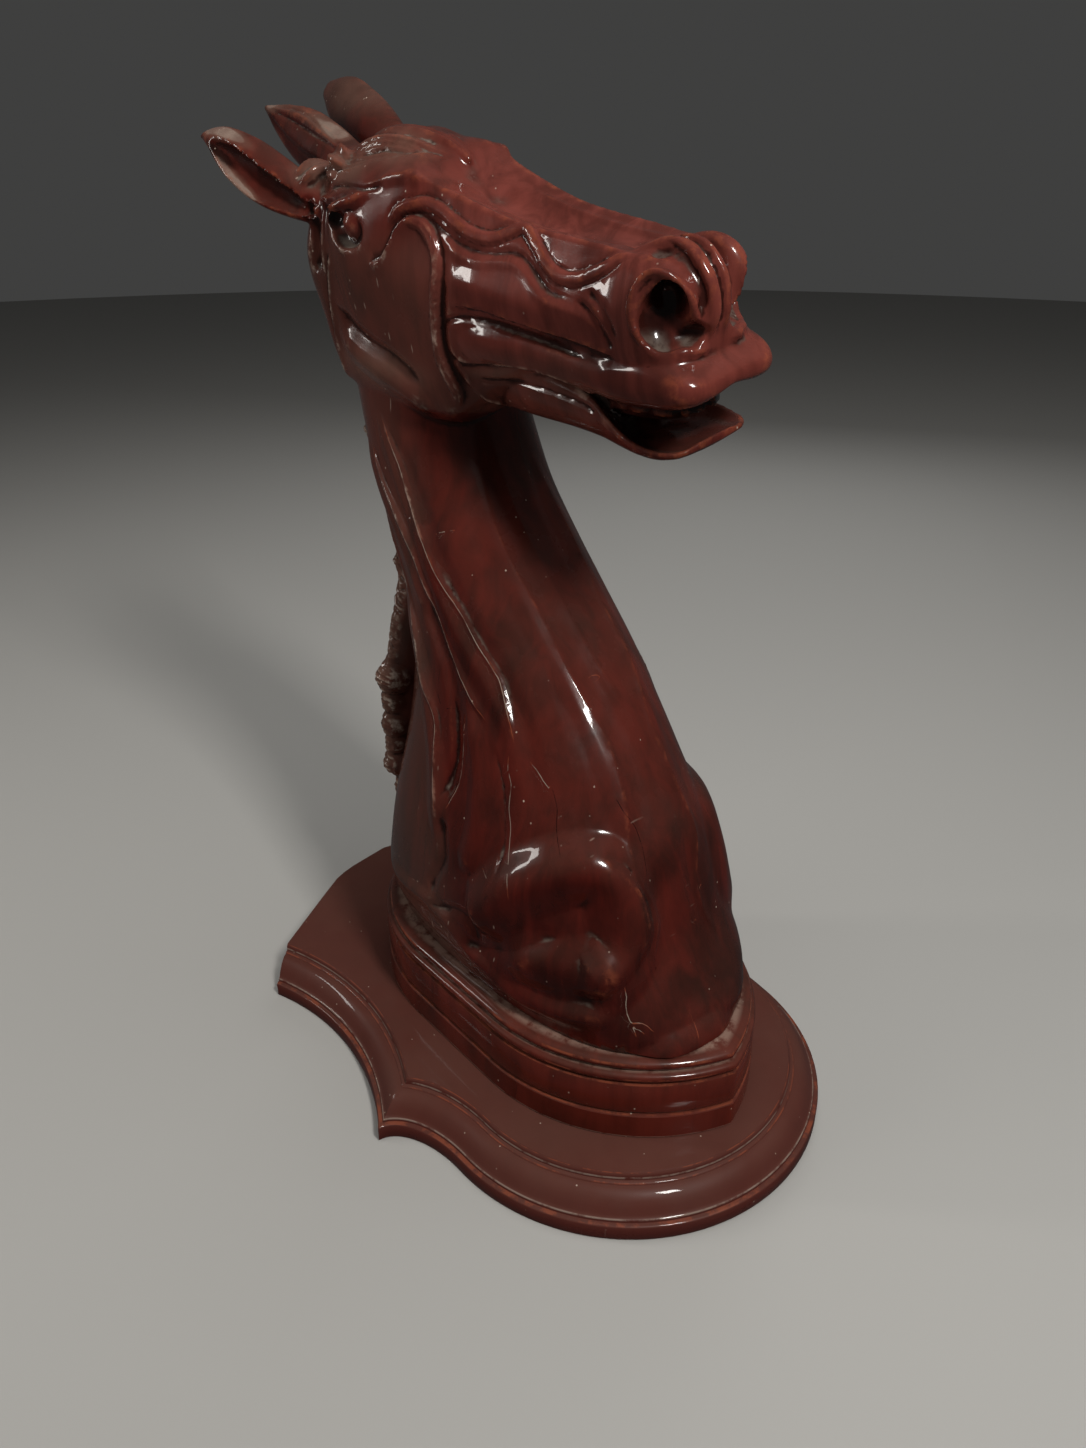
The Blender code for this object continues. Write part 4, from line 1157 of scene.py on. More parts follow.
    def add_mane(self, bm: BMesh) -> None:
        """The mane's core and its rows of curls.

        Args:
            bm: the form's mesh.
        """
        heights, middles, widths = np.array(MANE).T
        core = np.column_stack([middles, np.interp(heights, self.neck[:, 0], self.neck[:, 5]), heights])
        sizes = np.column_stack([widths, np.full(len(widths), self.mane_depth)])
        loft(bm, sweep(core + (self.mane_ahead, 0, 0), sizes, (0, 1, 0), 32))
        ahead, bow, rise = self.curl_steps
        for height, size in MANE_CURLS:
            middle, width, shift = (np.interp(height, columns[0], columns[1]) for columns in (
                (heights, middles), (heights, widths), (self.neck[:, 0], self.neck[:, 5])))
            for share in self.curl_row:
                curl = bmesh.ops.create_icosphere(bm, subdivisions=4, radius=size)["verts"]
                bmesh.ops.scale(bm, verts=curl, vec=self.curl_shape)
                bmesh.ops.translate(bm, verts=curl, vec=(middle + ahead + bow * share ** 2,
                                                         shift + share * width, height + rise * share))

    def hair_strokes(self) -> list[Stroke]:
        """Fine grooves along the locks and across the mane.

        Returns:
            The grooves' strokes.
        """
        strokes = []
        for (path, sizes), across, out, count in COMBS:
            centres, halves = np.array(path), np.array(sizes)
            lift = self.comb_lift * halves[:, 1:] * np.array(out)
            for share in np.linspace(-self.comb_spread, self.comb_spread, count):
                line = centres + share * halves[:, :1] * np.array(across) + lift
                strokes.append(Stroke(View.FREE, Cut.SHARP, *self.comb_cut, tuple(map(tuple, line)), (1,)))
        heights, middles, widths = np.array(MANE).T
        for height in np.arange(*MANE_GROOVES):
            middle, width = (np.interp(height, heights, value) for value in (middles, widths))
            shift = np.interp(height, self.neck[:, 0], self.neck[:, 5])
            line = np.array([(middle + ahead, shift + share * width, height + rise)
                             for ahead, share, rise in MANE_GROOVE]) / MM
            strokes.append(Stroke(View.MODEL, Cut.SHARP, *self.groove_cut, tuple(map(tuple, line)), (1,),
                                  self.groove_fade))
        return strokes

    def rough_form(self) -> Item:
        """Every body of the form, fused into one skin.

        Returns:
            The form.
        """
        bm = bmesh.new()
        loft(bm, self.neck_rings())
        loft(bm, self.section_rings(HEAD))
        self.add_mouth(bm)
        self.add_lids(bm)
        self.add_nose(bm)
        self.add_hair(bm)
        self.add_mane(bm)
        for ear in (NEAR_EAR, FAR_EAR):
            ear.body(bm)
        form = make_object("horse_carving", bm)
        fuse(form, self.voxel, 0.5, 2)
        return form

    def hollow_out(self, form: Item) -> None:
        """Cut the nostrils, the eyes' and the ears' hollows, set the eyeballs in and round the edges.

        Args:
            form: the fused form.
        """
        bm = bmesh.new()
        for side in (1, -1):
            for (x, v, w), radii, yaw in (*NOSTRIL_PITS, *EYE_PITS):
                self.add_blob(bm, (x, side * v, w), radii, side * yaw)
        for ear in (NEAR_EAR, FAR_EAR):
            ear.hollow(bm)
        tool = make_object("hollows", bm)
        fuse(tool, self.voxel, 0.5, 12)
        bm = bmesh.new()
        bm.from_mesh(tool.data)
        bpy.data.objects.remove(tool, do_unlink=True)
        cut_away(form, bm)
        bm = bmesh.new()
        bm.from_mesh(form.data)
        (x, v, w), radius = EYE_BALL
        for side in (1, -1):
            self.add_blob(bm, (x, side * v, w), (radius,) * 3)
        bm.to_mesh(form.data)
        bm.free()
        fuse(form, self.voxel, 0.5, 1)

    def cut_foot(self, form: Item) -> None:
        """Cut the neck off flat where it stands on the collar.

        Args:
            form: the carved form.
        """
        bm = bmesh.new()
        bm.from_mesh(form.data)
        geometry = bm.verts[:] + bm.edges[:] + bm.faces[:]
        cut = bmesh.ops.bisect_plane(bm, geom=geometry, plane_co=(0, 0, self.foot), plane_no=(0, 0, -1),
                                     clear_outer=True)
        rim = [part for part in cut["geom_cut"] if isinstance(part, bmesh.types.BMEdge)]
        bmesh.ops.edgeloop_fill(bm, edges=rim)
        bmesh.ops.triangulate(bm, faces=bm.faces[:])
        bm.to_mesh(form.data)
        bm.free()

    def build(self) -> Item:
        """Shape, carve and mark the carving.

        Returns:
            The carving's object.
        """
        form = self.rough_form()
        self.hollow_out(form)
        carver = Carver(form, self.neck)
        for stroke in STROKES_FORM:
            carver.carve(stroke)
        carver.refresh()
        for stroke in (*STROKES_LINE, *self.hair_strokes()):
            carver.carve(stroke)
        carver.smooth(0.35, 1)
        thin_out(form, self.triangles)
        self.cut_foot(form)
        patina = Patina()
        patina.mark_wear(form.data)
        patina.mark_handling(form.data)
        Carver(form, self.neck).mark_cracks_and_highlights()
        form.data.shade_smooth()
        return form


def even(values: np.ndarray, edges: np.ndarray, repeats: int) -> np.ndarray:
    """Average values over a mesh's neighbouring points.

    Args:
        values: one row for each point.
        edges: the mesh's edges.
        repeats: how often.

    Returns:
        The averaged values.
    """
    count = len(values)
    share = np.bincount(edges.ravel(), minlength=count)[:, None]
    for _ in range(repeats):
        total = np.empty_like(values)
        for axis in range(values.shape[1]):
            ends = values[:, axis]
            total[:, axis] = (np.bincount(edges[:, 0], ends[edges[:, 1]], count)
                              + np.bincount(edges[:, 1], ends[edges[:, 0]], count))
        values = 0.5 * values + 0.5 * total / np.maximum(share, 1)
    return values


def below(values: np.ndarray, edge: np.ndarray | float, width: float) -> np.ndarray:
    """1 where values lie well below an edge, falling to 0 at it over a width."""
    return np.clip((edge - values) / width, 0.0, 1.0)


@dataclass(frozen=True)
class Patina:
    """What age and hands have left on the carving, and the shade and light painted on it, marked point by
    point for its finish to read.
    """

    # how often the surface is averaged and the depth that counts as a full hollow
    fine: tuple[int, float] = (3, 0.0004)
    broad: tuple[int, float] = (24, 0.0022)
    calm_spacing: float = 0.0034  # points further apart than this show flatter hollows and crests
    # a painted shade place, a dusty place and a band of dust or painted shade each end at this share of
    # its radius, fading over the next
    painted_shade_fade: tuple[float, float] = (1.15, 0.35)
    dusty_fade: tuple[float, float] = (1.3, 0.8)
    band_fade: tuple[float, float] = (1.3, 0.6)
    # the mane's dust: its thickness, how far ahead of the mane it reaches and up to what height
    mane_dust: float = 0.82
    mane_front: tuple[float, float] = (0.034, 0.012)
    mane_top: tuple[float, float] = (0.90, 0.10)
    # the paler back of the neck ends at a sloping line: its x at a height, how far it falls back for its
    # rise and its fade
    pale_neck: tuple[float, ...] = (0.02, 0.3, 0.35, 0.05)
    neck_top: float = 0.74
    # the paler jowl and jaw: front end and top, each with its fade, in millimetres, and strength
    pale_jowl: tuple[float, ...] = (-30, 50, 930, 30, 0.9)
    pale_jaw: tuple[float, ...] = (140, 50, 835, 20, 0.6)

    def mark_wear(self, mesh: bpy.types.Mesh) -> None:
        """Mark hollows (above 0.5) and crests (below), fine and broad.

        Args:
            mesh: the carving's mesh.
        """
        coords = read_vectors(mesh, "co")
        normals = read_vectors(mesh, "normal")
        edges = np.empty(len(mesh.edges) * 2, dtype=int)
        mesh.edges.foreach_get("vertices", edges)
        edges = edges.reshape(-1, 2)
        length = np.linalg.norm(coords[edges[:, 0]] - coords[edges[:, 1]], axis=1)
        count = len(coords)
        spacing = np.bincount(edges[:, 0], length, count) + np.bincount(edges[:, 1], length, count)
        spacing /= np.maximum(np.bincount(edges.ravel(), minlength=count), 1)
        spacing = even(spacing[:, None], edges, 3)[:, 0]
        calm = np.clip((self.calm_spacing / spacing) ** 2, 0.0, 1.0)
        for name, (repeats, scale) in (("fine", self.fine), ("broad", self.broad)):
            depth = calm * np.einsum("ij,ij->i", even(coords, edges, repeats) - coords, normals)
            level = even(np.clip(0.5 + 0.5 * depth / scale, 0.0, 1.0)[:, None], edges, 2)[:, 0]
            write_marks(mesh, name, level)

    def along_bands(self, places: np.ndarray, bands: Points) -> np.ndarray:
        """How strongly bands cover points.

        Args:
            places: the points in the head's frame, in millimetres.
            bands: each band's line, reach and strength.

        Returns:
            A share from 0 to 1 for each point.
        """
        cover = np.zeros(len(places))
        for points, radius, strength in bands:
            line = smooth_points(points, 12)
            low, high = line.min(axis=0) - 2 * radius, line.max(axis=0) + 2 * radius
            near = np.all((places > low) & (places < high), axis=1)
            gap = np.full(len(places), np.inf)
            gap[near] = np.linalg.norm(places[near][:, None] - line[None], axis=2).min(axis=1) / radius
            cover = np.maximum(cover, strength * below(gap, *self.band_fade))
        return cover

    def painted_shade(self, head: np.ndarray) -> np.ndarray:
        """Where shade is painted: the mouth, the nostrils, the eyes' back corners and the near ear's
        hollow.

        Args:
            head: the carving's points in the head's frame, in millimetres.

        Returns:
            A share from 0 to 1 for each point.
        """
        painted_shade = self.along_bands(head, PAINTED_SHADE_BANDS)
        for centre, radii in PAINTED_SHADE_PLACES:
            gap = np.linalg.norm((head - centre) / radii, axis=1)
            painted_shade = np.maximum(painted_shade, below(gap, *self.painted_shade_fade))
        return painted_shade

    def dusty(self, head: np.ndarray, model: np.ndarray) -> np.ndarray:
        """What haze and dust lie on.

        Args:
            head: the carving's points in the head's frame, in millimetres.
            model: the same points in the model's frame.

        Returns:
            A share from 0 to 1 for each point.
        """
        dusty = self.along_bands(head, DUSTY_BANDS)
        for centre, radii, share in DUSTY_PLACES:
            gap = np.linalg.norm((head - centre) / radii, axis=1)
            dusty = np.maximum(dusty, share * below(gap, *self.dusty_fade))
        heights, middles, _ = np.array(MANE).T
        ahead, fade = self.mane_front
        mane = below(model[:, 0], np.interp(model[:, 2], heights, middles) + ahead, fade)
        return np.maximum(dusty, self.mane_dust * mane * below(model[:, 2], *self.mane_top))

    def pale(self, head: np.ndarray, model: np.ndarray) -> np.ndarray:
        """What dust has dulled: the neck's back, the jowl and the jaw.

        Args:
            head: the carving's points in the head's frame, in millimetres.
            model: the same points in the model's frame.

        Returns:
            A share from 0 to 1 for each point.
        """
        start, height, fall, width = self.pale_neck
        neck = below(model[:, 0], start - fall * (model[:, 2] - height), width)
        neck *= model[:, 2] < self.neck_top
        parts = [strength * below(head[:, 0], front, fade) * below(head[:, 2], top, top_fade)
                 for front, fade, top, top_fade, strength in (self.pale_jowl, self.pale_jaw)]
        return np.maximum(neck, (model[:, 2] >= self.neck_top) * np.maximum(*parts))

    def mark_handling(self, mesh: bpy.types.Mesh) -> None:
        """Mark where shade is painted, what is dusty or pale, and where hands have rubbed the head redder,
        which also paints light on it.

        Args:
            mesh: the carving's mesh.
        """
        model = read_vectors(mesh, "co")
        head = to_head(model) * MM_IN_M
        # handling and painted light: the head grows redder and brighter further forward and higher up
        rubbed_and_lit = np.interp(head[:, 0], *np.array(RUBBED_AND_LIT_ALONG).T)
        rubbed_and_lit *= np.interp(head[:, 2], *np.array(RUBBED_AND_LIT_UP).T)
        write_marks(mesh, "painted_shade", self.painted_shade(head))
        write_marks(mesh, "dusty", self.dusty(head, model))
        write_marks(mesh, "pale", self.pale(head, model))
        write_marks(mesh, "rubbed_and_lit", rubbed_and_lit)


# Collar and base board


def arc_points(centre: tuple[float, float], radius: tuple[float, float], first: float, last: float,
               steps: int) -> np.ndarray:
    """Points on an elliptic arc between two angles, ends included.

    Args:
        centre: its centre.
        radius: its radii in x and y.
        first: the first angle.
        last: the last angle.
        steps: how many points.

    Returns:
        Rows of (x, y).
    """
    turn = np.linspace(first, last, steps)
    return np.column_stack([centre[0] + radius[0] * np.cos(turn), centre[1] + radius[1] * np.sin(turn)])


@dataclass
class Collar:
    """The boat-shaped moulded collar under the neck."""

    foot: float
    middle: float = 0.0305
    half_length: float = 0.281
    half_flat: float = 0.07
    half_width: float = 0.159
    # inset and height above the foot, from the plain band up to the dusty top beside the neck
    profile: Points = (
        (0.0012, 0.0), (0.0, 0.0012), (0.0, 0.0290), (0.0012, 0.0305), (0.0042, 0.0312), (0.0042, 0.0335),
        (0.0018, 0.0345), (0.0010, 0.0360), (0.0010, 0.0700), (0.0020, 0.0716), (0.0052, 0.0724),
        (0.0054, 0.0742), (0.0030, 0.0752), (0.0014, 0.0770), (0.0008, 0.0795), (0.0012, 0.0820),
        (0.0028, 0.0838), (0.0060, 0.0846), (0.0094, 0.0850), (0.0096, 0.0866), (0.0074, 0.0878),
        (0.0060, 0.0900), (0.0058, 0.0926), (0.0072, 0.0950), (0.0104, 0.0966), (0.0150, 0.0974),
        (0.0200, 0.0980), (0.0280, 0.0992),
    )

    def outline(self, inset: float, steps: int = 48) -> np.ndarray:
        """The collar's plan, moved inwards by an inset.

        Args:
            inset: how far it is moved inwards.
            steps: points on a quarter of it.

        Returns:
            Rows of (x, y).
        """
        rise = self.half_length - self.half_flat
        radius = (rise ** 2 + self.half_width ** 2) / (2 * self.half_width)
        drop = radius - self.half_width
        end = math.asin(drop / (radius - inset))
        quarter = arc_points((self.half_flat, -drop), (radius - inset,) * 2, end, math.pi / 2, steps)
        half = np.vstack([quarter, quarter[::-1] * (-1, 1)])
        outline = np.vstack([half, half[-2:0:-1] * (1, -1)])
        return outline + (self.middle, 0.0)

    def build(self) -> Item:
        """Loft the collar from its profile.

        Returns:
            The collar's object.
        """
        bm = bmesh.new()
        rings = []
        for inset, height in self.profile:
            outline = self.outline(inset)
            rings.append(np.column_stack([outline, np.full(len(outline), self.foot + height)]))
        loft(bm, rings)
        collar = make_object("collar_mouldings", bm)
        collar.data.shade_smooth()
        collar.data.set_sharp_from_angle(angle=math.radians(38))
        return collar


@dataclass
class BaseBoard:
    """The shield-shaped base board with its moulded edge and plain-cut back."""

    half_length: float = 0.3705
    front_centre: float = 0.14
    cusp: tuple[float, float] = (0.0485, -0.2755)
    waist: tuple[float, float] = (-0.1, -0.2275)
    horn: tuple[float, float] = (-0.2395, -0.2492)
    back: Points = ((-0.2395, -0.2492), (-0.318, -0.135), (-0.353, -0.078), (-0.3705, 0.0))
    band: float = 0.0165
    thickness: float = 0.054
    overcut: float = 0.06
    # steps of the moulded edge from the top of its band up: inset and rise
    steps: Points = (
        (0.0008, 0.0012), (0.0016, 0.0006), (0.0028, 0.0003), (0.0004, 0.0018), (0.0004, 0.0010),
        (0.0014, 0.0008), (0.0018, 0.0026), (0.0030, 0.0052), (0.0040, 0.0056), (0.0044, 0.0042),
        (0.0040, 0.0024), (0.0030, 0.0009), (0.0020, 0.0002), (0.0006, 0.0012), (0.0014, 0.0008),
        (0.0024, 0.0004), (0.0006, 0.0044), (0.0008, 0.0018), (0.0020, 0.0011),
    )

    def circle_through(self, first: tuple[float, float], middle: tuple[float, float],
                       last: tuple[float, float]) -> tuple[np.ndarray, float]:
        """The circle through three points.

        Args:
            first: one point.
            middle: another.
            last: the third.

        Returns:
            Its centre and its radius.
        """
        (ax, ay), (bx, by), (cx, cy) = first, middle, last
        rows = np.array([[bx - ax, by - ay], [cx - ax, cy - ay]])
        right = 0.5 * np.array([bx ** 2 - ax ** 2 + by ** 2 - ay ** 2,
                                cx ** 2 - ax ** 2 + cy ** 2 - ay ** 2])
        centre = np.linalg.solve(rows, right)
        return centre, math.dist(centre, first)

    def outline(self, inset: float) -> np.ndarray:
        """The board's plan moved inwards, mitred at the cusps, with its back left long for the plain cut.

        Args:
            inset: how far the plan is moved inwards.

        Returns:
            (x, y) points, the same number for every inset.
        """
        centre, radius = self.circle_through(self.horn, self.waist, self.cusp)
        front_radius = self.half_length - self.front_centre
        wide, deep = self.front_centre - self.cusp[0], -self.cusp[1] - front_radius
        turn = np.linspace(math.pi, math.pi / 2, 400)
        cove = arc_points((self.front_centre, self.cusp[1]), (wide, deep), math.pi, math.pi / 2, 400)
        outward = np.column_stack([np.cos(turn) / wide, np.sin(turn) / deep])
        cove += inset * outward / np.linalg.norm(outward, axis=1)[:, None]
        gap = np.linalg.norm(cove - centre, axis=1) - (radius + inset)
        first = int(np.argmax(gap > 0)) if inset > 0 else 0
        cove = cove[first:]
        cove = cove[np.linspace(0, len(cove) - 1, 24).astype(int)]
        start = math.atan2(self.horn[1] - centre[1], self.horn[0] - centre[0]) + math.radians(9)
        end = math.atan2(cove[0][1] - centre[1], cove[0][0] - centre[0])
        side = arc_points(centre, (radius + inset,) * 2, start, end, 44)
        front = arc_points((self.front_centre, 0.0), (front_radius - inset,) * 2, -math.pi / 2, 0.0, 48)
        back = np.array([(-self.half_length - self.overcut, 0.0),
                         (-self.half_length - self.overcut, side[0][1])])
        half = np.vstack([back, side[:-1], cove, front[1:]])
        return np.vstack([half, half[-2:0:-1] * (1, -1)])

    def cut_back(self, bm: BMesh) -> None:
        """Cut the board's back to its plain bow, plane by plane.

        Args:
            bm: the board's mesh.
        """
        half = smooth_points(self.back, 4)
        bow = np.vstack([half, half[-2::-1] * (1, -1)])
        for (ax, ay), (bx, by) in zip(bow, bow[1:]):
            geometry = bm.verts[:] + bm.edges[:] + bm.faces[:]
            cut = bmesh.ops.bisect_plane(bm, geom=geometry, dist=1e-7, plane_co=(ax, ay, 0),
                                         plane_no=(ay - by, bx - ax, 0), clear_outer=True)
            rim = [part for part in cut["geom_cut"] if isinstance(part, bmesh.types.BMEdge)]
            bmesh.ops.holes_fill(bm, edges=rim)

    def build(self) -> Item:
        """Loft the board from its moulded profile and cut its back.

        Returns:
            The board's object.
        """
        bm = bmesh.new()
        profile = np.vstack([[(0.0006, 0.0), (0.0, 0.0010)],
                             np.cumsum(np.vstack([[(0.0, self.band)], self.steps]), axis=0)])
        profile[-1, 1] = self.thickness
        rings = []
        for inset, height in profile:
            outline = self.outline(inset)
            rings.append(np.column_stack([outline, np.full(len(outline), height)]))
        loft(bm, rings)
        self.cut_back(bm)
        bmesh.ops.triangulate(bm, faces=[face for face in bm.faces if len(face.verts) > 4])
        board = make_object("board_mouldings", bm)
        board.data.shade_smooth()
        board.data.set_sharp_from_angle(angle=math.radians(38))
        return board


# Finishes

Socket = bpy.types.NodeSocket
Colour = Place


class Sum(Enum):
    """A sum that a finish works out at each point of a surface."""

    ADD = "ADD"
    TAKE = "SUBTRACT"
    TIMES = "MULTIPLY"
    MOST = "MAXIMUM"
    SIZE = "ABSOLUTE"


class Recipe:
    """A material's node tree, written as a recipe."""

    def __init__(self, name: str) -> None:
        """Start a material that reads the piece's own coordinates.

        Args:
            name: the material's name.
        """
        self.material = bpy.data.materials.new(name)
        self.material.use_nodes = True
        self.tree = self.material.node_tree
        self.shader = self.tree.nodes["Principled BSDF"]
        self.place = self.node("TexCoord").outputs["Object"]

    def node(self, kind: str) -> bpy.types.ShaderNode:
        """A new node of the tree."""
        return self.tree.nodes.new("ShaderNode" + kind)

    def feed(self, socket: Socket, value: Socket | float | tuple) -> None:
        """Link a value to a socket, or set it there.

        Args:
            socket: the socket.
            value: another socket, a number, a colour or a vector.
        """
        if isinstance(value, bpy.types.NodeSocket):
            self.tree.links.new(value, socket)
        elif isinstance(value, tuple) and len(value) == 3 and socket.type == "RGBA":
            socket.default_value = (*value, 1.0)
        else:
            socket.default_value = value

    def stretch(self, scale: tuple[float, ...], turn: tuple[float, ...] = (0, 0, 0)) -> Socket:
        """The piece's coordinates, scaled and turned.

        Args:
            scale: the scale along each axis.
            turn: the turn about each axis.

        Returns:
            The coordinates.
        """
        node = self.node("Mapping")
        self.feed(node.inputs["Vector"], self.place)
        node.inputs["Scale"].default_value = scale
        node.inputs["Rotation"].default_value = turn
        return node.outputs["Vector"]

    def noise(self, scale: float, detail: float = 3.0, rough: float = 0.55, warp: float = 0.0,
              vector: Socket | None = None) -> Socket:
        """Soft cloudy values.

        Args:
            scale: clouds in a metre.
            detail: how many finer layers they have.
            rough: how strong the finer layers are.
            warp: how far the clouds are twisted.
            vector: coordinates other than the piece's own.

        Returns:
            Values from 0 to 1.
        """
        node = self.node("TexNoise")
        self.feed(node.inputs["Vector"], vector or self.place)
        values = {"Scale": scale, "Detail": detail, "Roughness": rough, "Distortion": warp}
        for name, value in values.items():
            node.inputs[name].default_value = value
        return node.outputs["Fac"]

    def cells(self, scale: float, vector: Socket) -> tuple[Socket, Socket]:
        """Cells round scattered points.

        Args:
            scale: cells in a metre.
            vector: the coordinates.

        Returns:
            The distance from a cell's point and the cell's own random colour.
        """
        node = self.node("TexVoronoi")
        self.feed(node.inputs["Vector"], vector)
        node.inputs["Scale"].default_value = scale
        return node.outputs["Distance"], node.outputs["Color"]

    def sum(self, operation: Sum, first: Socket | float, second: Socket | float = 0.0) -> Socket:
        """One sum.

        Args:
            operation: the sum.
            first: its first value.
            second: its second value.

        Returns:
            The result.
        """
        node = self.node("Math")
        node.operation = operation.value
        self.feed(node.inputs[0], first)
        self.feed(node.inputs[1], second)
        return node.outputs["Value"]

    def times(self, first: Socket | float, *others: Socket | float) -> Socket:
        """The product of some values."""
        return functools.reduce(lambda one, other: self.sum(Sum.TIMES, one, other), others, first)

    def most(self, first: Socket | float, *others: Socket | float) -> Socket:
        """The highest of some values."""
        return functools.reduce(lambda one, other: self.sum(Sum.MOST, one, other), others, first)

    def rest(self, share: Socket) -> Socket:
        """What a share leaves of 1."""
        return self.sum(Sum.TAKE, 1.0, share)

    def blend(self, first: Socket, second: Socket, share: float) -> Socket:
        """The mean of two values, the first one weighted by a share."""
        return self.sum(Sum.ADD, self.times(first, share), self.times(second, 1.0 - share))

    def span(self, value: Socket, low: float, high: float, start: float = 0.0, end: float = 1.0) -> Socket:
        """Map a value softly from low..high to start..end.

        Args:
            value: the value.
            low: where the result is start.
            high: where the result is end.
            start: the first result.
            end: the last result.

        Returns:
            The mapped value.
        """
        node = self.node("MapRange")
        node.interpolation_type = "SMOOTHSTEP"
        for socket, number in zip(node.inputs, (value, low, high, start, end)):
            self.feed(socket, number)
        return node.outputs["Result"]

    def mix(self, share: Socket | float, first: Socket | Colour, second: Socket | Colour) -> Socket:
        """Mix two colours.

        Args:
            share: how much of the second colour shows.
            first: the first colour.
            second: the second colour.

        Returns:
            The mixed colour.
        """
        node = self.node("Mix")
        node.data_type = "RGBA"
        self.feed(node.inputs["Factor"], share)
        self.feed(node.inputs[6], first)
        self.feed(node.inputs[7], second)
        return node.outputs[2]

    def mark(self, name: str) -> Socket:
        """One of the values that the piece's points carry."""
        node = self.node("Attribute")
        node.attribute_name = name
        return node.outputs["Fac"]

    def upright(self, vector: Socket) -> Socket:
        """The upward part of a vector."""
        parts = self.node("SeparateXYZ")
        self.feed(parts.inputs[0], vector)
        return parts.outputs["Z"]

    def upward(self) -> Socket:
        """How far the surface faces up."""
        return self.upright(self.node("NewGeometry").outputs["Normal"])

    def bump(self, height: Socket, strength: float, depth: float, below: Socket | None = None) -> Socket:
        """Bump the surface by a height.

        Args:
            height: the height, from 0 to 1.
            strength: how strongly it shows.
            depth: the height's full depth in metres.
            below: the bumped surface that it lies on.

        Returns:
            The bumped surface's normal.
        """
        node = self.node("Bump")
        node.inputs["Strength"].default_value = strength
        node.inputs["Distance"].default_value = depth
        self.feed(node.inputs["Height"], height)
        if below is not None:
            self.feed(node.inputs["Normal"], below)
        return node.outputs["Normal"]


@dataclass(frozen=True)
class Lacquer:
    """Old dark lacquer over hardwood: patchy red and brown, dusty hollows, specks and scratches, with
    painted shade in the hollows and painted light on the head.
    """

    name: str
    deep: Colour
    red: Colour
    film: Colour = (0.095, 0.050, 0.037)
    # red of wood rubbed by handling, brighter than the rest: partly painted light on the head
    rubbed_and_lit: Colour = (0.200, 0.052, 0.040)
    haze: Colour = (0.150, 0.082, 0.060)
    dust: Colour = (0.34, 0.28, 0.23)
    worn: Colour = (0.24, 0.060, 0.028)
    # near black laid in the carving's hollows and shade places: painted shade
    hollow: Colour = (0.0070, 0.0020, 0.0015)
    split: Colour = (0.003, 0.001, 0.001)
    speck: Colour = (0.46, 0.36, 0.29)
    film_share: float = 0.30
    dust_share: float = 0.42
    gloss: float = 0.15
    gloss_fall: float = 0.13
    coat: float = 0.42
    coat_roughness: float = 0.045
    coat_ior: float = 1.5
    shine: float = 0.11
    speck_scale: float = 78.0
    carved: bool = True
    # heights of a moulding's worn arrises and dusty quirks, each with its half width
    worn_lines: Points = ()
    dust_lines: Points = ()

    def build(self) -> bpy.types.Material:
        """The finish's material."""
        return LacquerRecipe(self).write()


